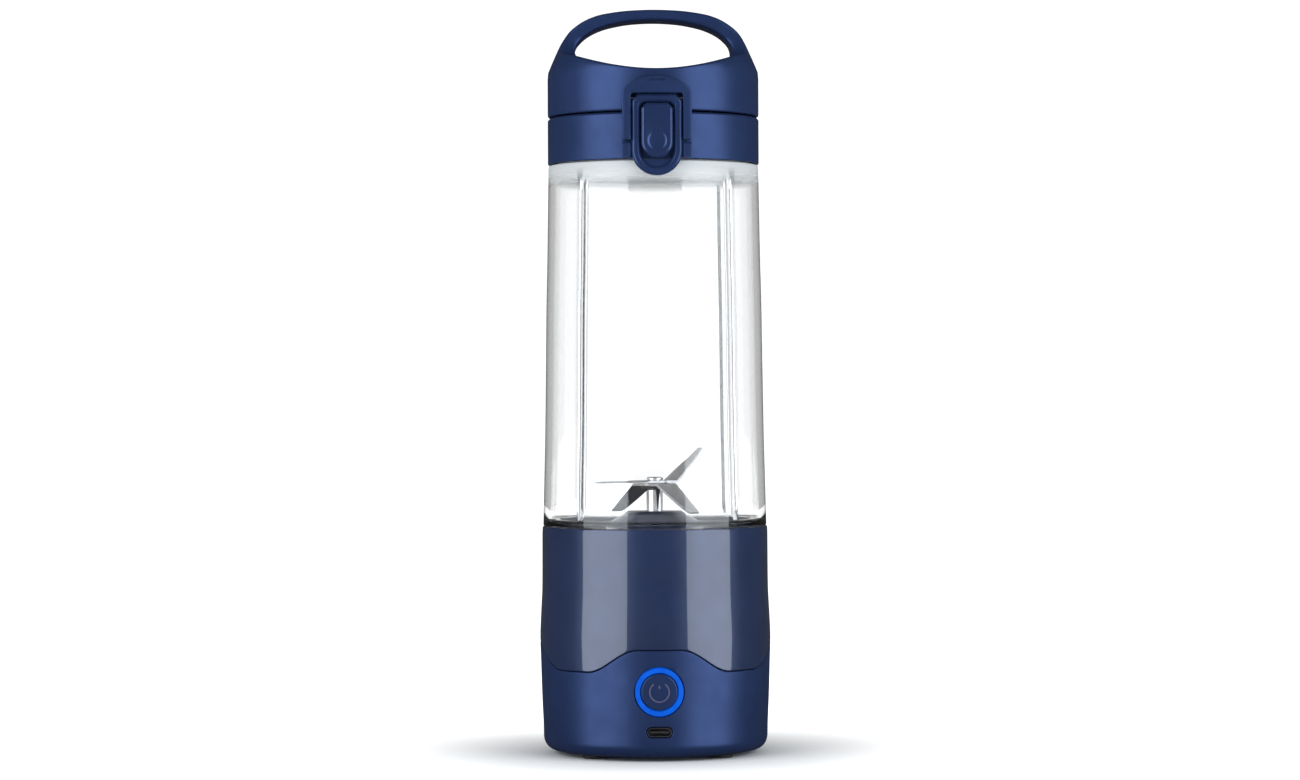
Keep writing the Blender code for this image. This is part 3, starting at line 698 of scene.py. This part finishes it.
def build_feet():
    for where, at in foot_places():
        profile = rounded([(0, 0), (3.0, 0), (4.0, 0, 0.5), (4.0, 2.2, 0.25), (0, 2.2)])
        grip = rounded([(2.2, -1), (2.6, -1), (2.6, 0.35, 0.15), (2.2, 0.35, 0.15)])
        foot = solid(f"rubber_foot_{where}", turned(profile, 64, at=at))
        cut(foot, solid("groove", turned(grip, 64, at=at)))
        kit(foot, "base", "black_rubber", f"foot_{where}")


# The drive and the blades


def build_drive():
    spindle = rounded([(0, 74.6), (3.05, 74.6, 0.2), (3.05, 97.0, 0.3), (2.1, 97.0, 0.1),
                       (2.1, 100.9, 0.35), (0, 100.9)])
    kit(solid("drive_spindle", turned(spindle, 72)), "blade_unit", "spindle_steel", "spindle")
    washer = rounded([(2.45, 97.3, 0.15), (5.2, 97.3, 0.25), (5.2, 98.1, 0.25), (2.45, 98.1, 0.15)])
    kit(solid("blade_spacer", turned(washer, 72)), "blade_unit", "black_plastic", "blade_washer")
    nut = rounded([(0, 101.5), (2.5, 101.5, 0.4), (3.05, 101.1, 0.2), (3.05, 100.4, 0.1),
                   (2.45, 100.4), (2.45, 101.1), (0, 101.1)])
    kit(solid("blade_rivet_head", turned(nut, 72)), "blade_unit", "spindle_steel", "blade_nut")
    build_blade("lower_blade", "blade_lower", 98.75, 0.9, -50, (-34, -34), (5.3, 5.2, 4.6, 3.0))
    build_blade("upper_blade", "blade_upper", 99.8, 0.8, 32, (0, 41.5), (5.3, 5.1, 4.1, 1.9))


def build_blade(node, name, height, thickness, heading, bends, widths):
    """A strip through the spindle: each end bends, tapers and is ground to an edge on its leading side."""
    bend_half, overlap, step = 0.8, 1.0, 0.5
    width_by_reach = ((0, widths[0]), (BLADE_BEND, widths[1]), (14, widths[2]), (BLADE_REACH, widths[3]))
    curve = fine_table(width_by_reach)
    turn = math.radians(heading)
    rings = []
    for side in (-1, 1):
        slope_end = math.radians(bends[0] if side < 0 else bends[1])
        x, z, reach = -overlap, 0.0, -overlap
        half_rings = []
        while reach <= BLADE_REACH + 0.01:
            slope = slope_end * ease((reach - BLADE_BEND + bend_half) / (2 * bend_half))
            half = min(between(curve, reach), math.sqrt(max(BLADE_REACH + 0.35 - reach, 0.0)) * 2.6)
            normal = Vector((-math.sin(slope), math.cos(slope)))
            ground = 0.55 * ease((reach - 4.5) / 4) * half + 0.02
            tip = 0.12 + (thickness - 0.12) * (1 - ease((reach - 4.5) / 4))
            section = (
                (-half, thickness / 2), (half - ground, thickness / 2), (half, tip - thickness / 2),
                (half, -thickness / 2), (-half, -thickness / 2),
            )
            ring = []
            for across, up in section:
                local = (side * (x + normal.x * up), side * across, z + normal.y * up)
                ring.append((
                    local[0] * math.cos(turn) - local[1] * math.sin(turn),
                    local[0] * math.sin(turn) + local[1] * math.cos(turn),
                    height + local[2],
                ))
            half_rings.append(ring)
            x += step * math.cos(slope)
            z += step * math.sin(slope)
            reach += step
        rings.append(half_rings)
    half_hub = thickness / 2 + 0.01
    blade = solid(name, disc(BLADE_HUB, height - half_hub, height + half_hub, 72))
    join(blade, *(soften(solid("wing", loft(half)), 0.05, 30, 2) for half in rings))
    cut(blade, solid("bore", disc(BLADE_BORE, height - 3, height + 3, 48)))
    kit(blade, "blade_unit", "blade_steel", node, sharp=18)


# The controls


def ring_front(radius, angle):
    return -skin(radius * math.cos(angle), BUTTON_Z + radius * math.sin(angle))


def build_controls():
    at = (0, 0, BUTTON_Z)

    def ring_profile(angle):
        inner, outer = ring_front(6.95, angle), ring_front(8.7, angle)
        return rounded([(6.95, -37.4), (6.95, inner - 0.1, 0.3), (8.7, outer - 0.1, 0.3), (8.7, -37.4)], 5)

    def button_profile(angle):
        fronts = [(r, ring_front(r, angle)) for r in (6.6, 6.2, 3.2)]
        return rounded(
            [
                (0, -35.6), (1.6, -35.6), (1.6, -38.7), (6.6, -38.7), (6.6, fronts[0][1] + 0.2, 0.2),
                (6.2, fronts[1][1] - 0.1, 0.3), (3.2, fronts[2][1] + 0.1, 1.0), (0, face_of_button(0)),
            ],
            5,
        )

    kit(solid("led_light_ring", turned(ring_profile, 144, "y", at)), "base", "led_blue", "led_ring")
    cap = solid("power_button_cap", turned(button_profile, 144, "y", at))
    kit(cap, "power_button_body", "navy_satin", "power_button")
    build_power_mark()
    build_port()


def build_port():
    def slot_shape(half_width, half_height, levels):
        rings = []
        for y, grown in levels:
            outline = stadium(half_width + grown, half_height + grown, USB_Z)
            rings.append([(x, y, z) for x, z in outline])
        return loft(rings)

    tongue_low, tongue_high = USB_Z - 0.35, USB_Z + 0.35
    port = solid("usb_port_shell", slot_shape(4.47, 1.63, ((-32.5, 0), (-40.25, 0), (-40.4, -0.08))))
    cut(port, solid("mouth", slot_shape(4.17, 1.33, ((-33.3, 0), (-40.2, 0), (-40.5, 0.12)))))
    join(port, soften(solid("root", box((-3.3, -33.9, tongue_low), (3.3, -33.0, tongue_high))), 0.05))
    kit(port, "base", "plain_steel", "usb_port")
    tongue = soften(solid("usb_tongue", box((-3.3, -39.6, tongue_low), (3.3, -33.95, tongue_high))), 0.12)
    kit(tongue, "base", "black_plastic")
    for i in range(10):
        x = -2.5 + 5.0 * i / 9
        strip = box((x - 0.13, -39.2, tongue_high + 0.01), (x + 0.13, -35, tongue_high + 0.07))
        kit(soften(solid(f"usb_contact_{i}", strip), 0.02), "base", "copper")


def build_power_mark():
    """The usual on and off sign, an open circle with a bar, raised a little from the button."""
    section = ((-MARK_HALF, -0.1), (-MARK_HALF, MARK_LIFT), (MARK_HALF, MARK_LIFT), (MARK_HALF, -0.1))
    rings = []
    for degrees in range(125, 416, 5):
        angle = math.radians(degrees)
        ring = []
        for across, up in section:
            r = MARK_RADIUS + across
            ring.append((r * math.cos(angle), face_of_button(r) - up, BUTTON_Z + r * math.sin(angle)))
        rings.append(ring)
    mark = solid("power_mark", loft(rings))
    bar = []
    for z in (1.2, 2.0, 2.8, 3.6, 4.4):
        bar.append([(x, face_of_button(z) - up, BUTTON_Z + z) for x, up in section])
    stem = solid("power_mark_stem", loft(bar))
    ink = moulded("mark_ink", MARK, 0.35, 0.45)
    for thing in (mark, stem):
        soften(thing, 0.04)
        dress(thing, "power_button_body", "navy_satin", ink)


def face_of_button(radius):
    """The button's dished face, whose middle is lowest."""
    depth = between(((0, 0.2), (3.2, 0.1), (6.2, -0.1)), radius)
    return depth - skin(0, BUTTON_Z)


# The cup


def rib_columns():
    """Angles round the cup, closer together at its four ribs."""
    degrees = {i * 1.5 for i in range(240)}
    for centre in (45, 135, 225, 315):
        degrees |= {centre + i * 0.2 for i in range(-16, 17)}
    return [math.radians(d) for d in sorted(degrees)]


def rib_rise(angle, z):
    """How far a rib stands off the inside of the wall."""
    away = abs((math.degrees(angle) - 45 + 45) % 90 - 45)
    off = away * math.pi / 180 * 37.5
    across = ease((1.35 - off) / 0.5)
    along = ease((z - RIB_LOW) / 2) * ease((RIB_HIGH - z) / 2)
    return RIB_DEPTH * across * along


def build_cup():
    edge = rounded([(40.0, 83.8), (41.2, 83.8, 0.3), (41.15, 86.0)], 5)[1:-1]

    def profile(angle):
        foot = rounded([(35.4, 75), (35.4, CUP_BOTTOM, 0.4), (37.8, CUP_BOTTOM, 0.5), (37.8, 75)], 4)[1:-1]
        shoulder = rounded([(38.75, 215.3), (38.6, 216.3, 0.7), (35.3, 216.3, 0.3), (35.3, 218)], 4)[1:-1]
        lip = rounded([(35.3, 226.5), (35.3, CUP_TOP, 0.7), (33.0, CUP_TOP, 0.7), (33.0, 226)], 5)[1:-1]
        inner = [*NECK_STEP, *wall(CUP_CURVE, 210, 96, 25, CUP_WALL), *FOOT_STEP]
        return [
            *foot, *threaded(angle, CUP_THREAD, 74.4, 82.8, 42), (37.8, 83.8), *edge,
            *wall(CUP_CURVE, 86.4, 214.8, 30), *shoulder, *threaded(angle, NECK_THREAD, 217.5, 226.2, 40),
            *lip, *((r - rib_rise(angle, z), z) for r, z in inner),
        ]

    cup = solid("clear_cup_wall", turned(profile, rib_columns()))
    kit(cup, "cup_body", "clear_cup", "cup", sharp=50)
    for name, node, body, inner, outer in (
        ("cup_seal", "cup_gasket", "cup_gasket_body", 35.2, 38.3),
        ("lid_seal", "lid_gasket", "lid_gasket_body", 33.2, 36.0),
    ):
        start, end = low(node).z, high(node).z
        seal = rounded([(inner, start, 0.5), (outer, start, 0.5), (outer, end, 0.5), (inner, end, 0.5)], 5)
        kit(solid(name, turned(seal, 160)), body, "silicone", node)


# The lid


def build_collar():
    inner = COLLAR_THREAD[0]

    def profile(angle):
        skirt = rounded([(37.1, COLLAR_BOTTOM, 0.3), (LID_RADIUS, COLLAR_BOTTOM, 0.4),
                         (LID_RADIUS, 232.9, 0.3), (38.35, COLLAR_TOP, 0.3), (37.0, COLLAR_TOP, 0.2),
                         (36.4, 232.8, 0.2), (22.0, 232.8, 0.8), (22.0, 238.6, 0.5), (19.6, 238.6, 0.5),
                         (19.6, 230.9, 0.4), (inner, 230.9, 0.3)], 5)
        return skirt + threaded(angle, COLLAR_THREAD, 228.5, 218.6, 44) + [(inner, 217.6)]

    collar = solid("lid_collar_ring", turned(profile, 240))
    for side in (-1, 1):
        lug = [(37.6, 224.5), (39.5, 224.5), (43.3, 232.8)]
        lug += arc_points((HINGE_Y, HINGE_Z), HINGE_EYE, 0, 180, 24) + [(39.1, 233.1), (37.6, 233.1)]
        join(collar, soften(solid("lug", prism(lug, *sorted((side * 8.2, side * 13.8)), "x")), 0.35, 30))
        join(collar, soften(solid("pad", latch_pad(side)), 0.25, 30))
    cut(collar, solid("eye", disc(HINGE_BORE, -20, 20, 32, "x", (0, HINGE_Y, HINGE_Z))))
    kit(collar, "lid_body", "navy_satin", "lid_collar")
    section = rounded([(0, -13.6), (1.0, -13.6, 0.2), (1.0, 13.6, 0.2), (0, 13.6)])
    pin = solid("cap_hinge_pin", turned(section, 32, "x", (0, HINGE_Y, HINGE_Z)))
    kit(pin, "lid_body", "spindle_steel", "hinge_pin")
    coil = []
    steps, half_length, coil_radius = 120, 3.3, 1.7
    for i in range(steps + 1):
        angle = math.tau * i / 24
        across = coil_radius * math.cos(angle), coil_radius * math.sin(angle)
        coil.append((half_length * (2 * i / steps - 1), HINGE_Y + across[0], HINGE_Z + across[1]))
    kit(solid("cap_return_spring", tube(coil, 0.28, 10)), "lid_body", "spindle_steel", "cap_spring")


def latch_pad(side):
    """A block on the collar below the hood's cheek, beside the lock ring."""
    rings = []
    for z, back, front in ((217.3, 37.9, 41.2), (222.0, 37.9, 41.2), (222.7, 37.9, 40.6)):
        ring = []
        for x in (9.5, HOOD_OUT):
            ring.append((side * x, -math.sqrt(back**2 - x**2), z))
        for x in (HOOD_OUT, 9.5):
            ring.append((side * x, -front, z))
        rings.append(ring)
    return loft(rings)


CAP_RADII = fine_table(((247, 38.95), (250, 38.9), (251.5, 38.4), (253, 37.8), (256, 36.5), (258.9, 35.2)))


def cap_profile(angle):
    """The cap's section: straight wall, rounded rim and a dished top that rises towards both handle roots."""
    cos = math.cos(angle)
    rim = DISH_LOW
    for _ in range(20):
        rim = DISH_LOW + (between(CAP_RADII, rim) * cos) ** 2 / DISH_CURVE

    def dish(radius):
        return DISH_LOW + (radius * cos) ** 2 / DISH_CURVE

    outer = between(CAP_RADII, rim)
    inner = outer - 3.5
    start = rim - 2.4
    fillet = rounded([(between(CAP_RADII, start), start), (outer, rim, 1.5), (inner, dish(inner))], 8)
    side = []
    for i in range(9):
        z = 235.4 + (rim - 2.6 - 235.4) * i / 8
        side.append((between(CAP_RADII, z), z))
    top = [(inner * part, dish(inner * part)) for part in (0.9, 0.8, 0.7, 0.6, 0.45, 0.3, 0.15, 0)]
    return [
        (0, CAP_CEILING), (36.0, CAP_CEILING), (36.4, 245.8), (36.6, 245.4), (36.6, 234.6), (36.8, 234.3),
        (37.0, CAP_BOTTOM), (38.35, CAP_BOTTOM), (38.7, 234.4), (38.9, 234.75), *side, *fillet[1:], *top,
    ]


# Handle loop: the outline and the hole beside each other, and half the depth front to back
HANDLE = (
    ((38.2, 250.6), (27.0, 250.6), 21.5), ((37.7, 252.8), (27.0, 252.6), 18.5),
    ((36.45, 256), (28.2, 255.4), 14.2), ((35.2, 258.9), (28.9, 257.6), 11.0),
    ((33.6, 261.9), (28.3, 260.2), 9.2), ((31.3, 264.9), (26.8, 262.1), 8.15),
    ((28.9, 267.1), (24.8, 263.9), 8), ((25.8, 269.2), (22.4, 265.4), 8), ((22.8, 270.6), (19.8, 266.6), 8),
    ((18.9, 271.8), (16.4, 267.7), 8), ((12, 272.9), (10.8, 268.85), 8), ((6, 273.35), (5.6, 269.4), 8),
    ((0, HANDLE_TOP), (0, 269.6), 8), ((-6, 273.35), (-5.6, 269.4), 8),
)


def handle_shape():
    """The loop. Its roots widen and follow the cap's cone, and the outside flattens above them."""
    rows = [(*outer, *inner, half) for outer, inner, half in HANDLE]
    curve = through(rows, 4)
    curve = curve[: 4 * (len(HANDLE) - 2) + 1]
    stations = [(1, row) for row in curve] + [(-1, row) for row in reversed(curve[:-1])]
    rings = []
    for side, row in stations:
        outer, inner, half = Vector(row[:2]), Vector(row[2:4]), row[4]
        thick = (outer - inner).length
        across = (outer - inner).normalized()
        crown = [(half * part, thick) for part in (0.6, 0.4, 0.2, 0, -0.2, -0.4, -0.6)]
        corners = [(-half, 0, 1.3), (half, 0, 1.3), (half, thick, 1.7), *crown, (-half, thick, 1.7)]
        outline = rounded(corners, 6)
        ring = []
        for y, up in outline:
            point = inner + across * up
            radius = between(CAP_RADII, point.y)
            fade = 1 - ease((point.y - 258.5) / 8)
            sag = (radius - math.sqrt(radius**2 - y**2)) * up / thick * fade
            ring.append((side * (point.x - sag), y, point.y))
        rings.append(ring)
    return loft(rings)


def hood_shape():
    """The hood over the latch: an arch across the front of the cap and a cheek down each side of the ring."""
    heights = (223.2, 228, CAP_BOTTOM - 0.1, CAP_BOTTOM + 0.1, 237.5)
    half = [((HOOD_OUT, z), (HOOD_IN, z)) for z in heights]
    arch = (
        ((HOOD_OUT, 240.2), (HOOD_IN, 239.0)), ((12.1, 241.4), (9.2, 239.8)), ((10.6, 242.9), (8.6, 240.1)),
        ((7.8, 244.7), (6.5, 240.1)), ((4, 245.9), (3.5, 240.1)), ((0, 246.2), (0, 240.1)),
        ((-4, 245.9), (-3.5, 240.1)),
    )
    rows = [Vector((*outer, *inner)) for outer, inner in arch]
    half += [((row[0], row[1]), (row[2], row[3])) for row in through(rows, 4)[:21]]
    stations = [(-1, *row) for row in half] + [(1, *row) for row in reversed(half[:-1])]
    rings = []
    for side, outer, inner in stations:
        back = 39.35 if outer[1] < CAP_BOTTOM else 37.7
        ring = []
        for (x, z), radius in ((outer, back), (outer, 0), (inner, 0), (inner, back)):
            y = math.sqrt(radius**2 - x**2) if radius else HOOD_FRONT - x * x / 500
            ring.append((side * x, -y, z))
        rings.append(ring)
    return loft(rings)


def build_flip_cap():
    cap = solid("flip_cap_shell", turned(cap_profile, 240))
    join(cap, solid("handle", handle_shape()))
    join(cap, soften(solid("hood", hood_shape()), 0.42, 34, 3))
    knuckle = [(37.6, 246.5), (37.6, 236.2), (39.1, 236.2)]
    knuckle += arc_points((HINGE_Y, HINGE_Z), HINGE_EYE, 180, 360, 24) + [(43.2, 239.6), (39.4, 246.5)]
    for side in (-1, 1):
        join(cap, soften(solid("knuckle", prism(knuckle, *sorted((side * 4.0, side * 7.8)), "x")), 0.35, 30))
    cut(
        cap,
        solid("eye", disc(HINGE_BORE, -9, 9, 32, "x", (0, HINGE_Y, HINGE_Z))),
        solid("pin_hole", disc(LATCH_BORE, -12.2, 12.2, 24, "x", (0, LATCH_Y, LATCH_Z))),
        solid("hook_hole", box((-2.9, -40, 233.8), (2.9, -35, 236.5))),
        soften(solid("slot", box((-3.1, -43.5, 244.45), (3.1, -41.75, 245.15))), 0.2),
    )
    kit(cap, "cap_body", "navy_satin", "flip_cap", sharp=30)


def build_cap_fittings():
    liner = rounded([(0, 243.9), (34.5, 243.9, 0.6), (34.5, 245.7, 0.4), (0, 245.7)], 5)
    kit(solid("cap_liner_disc", turned(liner, 160)), "cap_body", "navy_satin", "cap_liner")
    plug = rounded([(0, 243.6), (19.0, 243.6), (18.7, 235.2, 0.6), (17.2, 235.2, 0.6),
                    (16.8, 241.5, 0.8), (0, 241.5)], 6)
    kit(solid("spout_plug_seal", turned(plug, 120)), "cap_body", "silicone", "spout_plug")
    section = rounded([(0, -11.9), (0.5, -11.9, 0.1), (0.5, 11.9, 0.1), (0, 11.9)])
    pin = solid("ring_pin", turned(section, 24, "x", (0, LATCH_Y, LATCH_Z)))
    kit(pin, "cap_body", "spindle_steel", "lock_ring_pin")
    spring = soften(solid("button_leaf_spring", box((-4, -31.9, 234.8), (4, -31.5, 243.6))), 0.12)
    kit(spring, "cap_body", "spindle_steel", "release_spring")


def build_lock_ring():
    """An oval bail that hangs from its pin round the button, with a web across its foot below the button."""
    half = [
        ((0, 239.65), (0, 236.75), 1.4), ((6.4, 239.65), (4.6, 236.75), 1.4),
        ((6.9, 239.5), (4.95, 236.6), 1.38), ((8.95, 237.5), (5.9, 235.7), 1.32),
        ((9.15, 236.9), (5.95, 235.2), 1.3), ((9.15, 233), (5.95, 232.5), 1.1),
        ((9.15, 226), (5.95, 226), 1.1),
    ]
    for degrees in range(0, -91, -5):
        angle = math.radians(degrees)
        cos, sin = math.cos(angle), math.sin(angle)
        outer, inner = [(radius * cos, RING_FOOT_Z + radius * sin) for radius in (9.15, 5.95)]
        half.append((outer, inner, 1.1))
    stations = [(1, *row) for row in half] + [(-1, *row) for row in reversed(half[1:-1])]
    rings = []
    for side, outer, inner, thick in stations:
        outer, inner = Vector(outer), Vector(inner)
        step = (inner - outer).normalized()
        ring = []
        for edge, way in ((outer, 1), (inner, -1)):
            for sink, y in ((0.85, -thick), (0, -thick + 0.8), (0, thick - 0.8), (0.85, thick))[::way]:
                point = edge + step * sink * way
                ring.append((side * point.x, LATCH_Y + y, point.y))
        rings.append(ring)
    ring = soften(solid("lock_ring_bail", loft(rings, looped=True)), 0.16, 24, 3)
    web = arc_points((0, RING_FOOT_Z), 7.2, 206, 334, 36)
    join(ring, soften(solid("web", prism(web, LATCH_Y, LATCH_Y + 0.8, "y")), 0.12))
    cut(ring, solid("pin_hole", disc(LATCH_BORE, -10, 10, 24, "x", (0, LATCH_Y, LATCH_Z))))
    dress(ring, "lock_ring_body", "navy_satin", LATCH_FINISH, "lock_ring")


def build_release_button():
    def outline(inset):
        half = 5.7 - inset
        points = [(half, 234.6), (half - 1.8, 236.4 - inset), (-half + 1.8, 236.4 - inset), (-half, 234.6)]
        return points + arc_points((0, 222.6), half, 180, 360, 36)

    levels = ((-40.95, 0), (-42.8, 0), (-43.5, 0.8))
    pad = loft([[(x, y, z) for x, z in outline(inset)] for y, inset in levels])
    button = soften(solid("release_button_pad", pad), 0.18, 24)
    join(button, soften(solid("hook", box((-2.4, -41.5, 234.7), (2.4, -34.0, 236.0))), 0.15))
    depth = [(0, -43.05), (2.0, -43.12), (3.0, -43.3), (3.4, -43.46), (3.6, -43.55), (3.6, -45), (0, -45)]
    cut(button, solid("dimple", turned(depth, 72, "y", (0, 0, 222.9))))
    dress(button, "release_button_body", "navy_satin", LATCH_FINISH, "release_button")


# The stage


def build_camera():
    distance, height, azimuth, roll = 1.335, 0.1336, math.radians(-1.9), math.radians(0.25)
    lens = bpy.data.cameras.new("camera")
    lens.lens = 100
    lens.sensor_width = 36
    lens.shift_x = -0.0033
    camera = bpy.data.objects.new("camera", lens)
    camera.location = (math.sin(azimuth) * distance, -math.cos(azimuth) * distance, height)
    camera.rotation_euler = (math.radians(90), roll, azimuth)
    bpy.context.scene.collection.objects.link(camera)
    bpy.context.scene.camera = camera


# Softboxes, in metres and degrees from the camera's side
PANEL_WIDE, PANEL_TALL = 1.2, 1.7
PANEL_AWAY, PANEL_HEIGHT = 1.3, 0.35
PANEL_TURN = 54.5
PANEL_RADIANCE = 3.45
PANEL_COLOR = (0.9, 0.96, 1.0)


def build_lights():
    """Two level softboxes that face the axis, one on each side of the camera."""
    for name, turn in (("left", -PANEL_TURN), ("right", PANEL_TURN)):
        light = bpy.data.lights.new(name, "AREA")
        light.shape = "RECTANGLE"
        light.size = PANEL_WIDE
        light.size_y = PANEL_TALL
        light.energy = PANEL_RADIANCE * math.pi * PANEL_WIDE * PANEL_TALL
        light.color = PANEL_COLOR
        thing = bpy.data.objects.new(name, light)
        a = math.radians(turn)
        thing.location = (math.sin(a) * PANEL_AWAY, -math.cos(a) * PANEL_AWAY, PANEL_HEIGHT)
        aim = Vector((0, 0, PANEL_HEIGHT)) - thing.location
        thing.rotation_euler = aim.to_track_quat("-Z", "Y").to_euler()
        bpy.context.scene.collection.objects.link(thing)


# How bright the surroundings are to the camera, to matt surfaces, in a mirror and inside clear plastic
SEEN, SCATTERED, MIRRORED, INSIDE_CLEAR = 1.12, 0.42, 0.05, 0.62


def build_world():
    """White behind the object and through its clear parts, dim where the object mirrors its surroundings."""
    world = bpy.data.worlds.new("studio")
    bpy.context.scene.world = world
    world.use_nodes = True
    tree = world.node_tree
    tree.nodes.clear()
    path = tree.nodes.new("ShaderNodeLightPath")
    both = tree.nodes.new("ShaderNodeMath")
    both.operation = "MULTIPLY"
    both.use_clamp = True
    tree.links.new(path.outputs["Glossy Depth"], both.inputs[0])
    tree.links.new(path.outputs["Transmission Depth"], both.inputs[1])

    def surroundings(level):
        shader = tree.nodes.new("ShaderNodeBackground")
        shader.inputs["Color"].default_value = (1, 1, 1, 1)
        shader.inputs["Strength"].default_value = level
        return shader.outputs[0]

    shown = surroundings(SEEN)
    for level, depth in (
        (SCATTERED, path.outputs["Diffuse Depth"]),
        (MIRRORED, path.outputs["Glossy Depth"]),
        (INSIDE_CLEAR, both.outputs[0]),
    ):
        mix = tree.nodes.new("ShaderNodeMixShader")
        tree.links.new(depth, mix.inputs[0])
        tree.links.new(shown, mix.inputs[1])
        tree.links.new(surroundings(level), mix.inputs[2])
        shown = mix.outputs[0]
    output = tree.nodes.new("ShaderNodeOutputWorld")
    tree.links.new(shown, output.inputs["Surface"])
    world.cycles.sampling_method = "NONE"


def build_floor():
    """A white floor that glows away from the object and not near it, which paints a shadow round the base on
    top of the cast one.
    """
    floor = solid("floor", disc(4000, -6, 0, 96))
    finish = Finish("floor_white_painted_shadow")
    finish.color(finish.noise(3, 2), (0.88, 0.88, 0.88), (0.9, 0.9, 0.9))
    finish.shader.inputs["Emission Color"].default_value = (1, 1, 1, 1)
    reach = finish.node("ShaderNodeVectorMath", operation="LENGTH")
    finish.link(finish.place, reach.inputs[0])
    # painted shadow: no glow within 4 cm of the axis, rising to full glow at 13 cm
    glow_with_painted_shadow = finish.spread(reach.outputs["Value"], 0.0, 0.9, 0.04, 0.13)
    finish.link(glow_with_painted_shadow, finish.shader.inputs["Emission Strength"])
    finish.roughness(finish.noise(8, 2), 0.7, 0.8)
    floor.data.materials.append(finish.material)
    floor.visible_glossy = False


bpy.context.scene.view_settings.view_transform = "Standard"
build_camera()
build_world()
build_lights()
build_floor()
inner_finishes()
build_lower_shell()
build_motor_housing()
build_dome()
build_feet()
build_drive()
build_controls()
build_cup()
build_collar()
build_flip_cap()
build_cap_fittings()
build_lock_ring()
build_release_button()
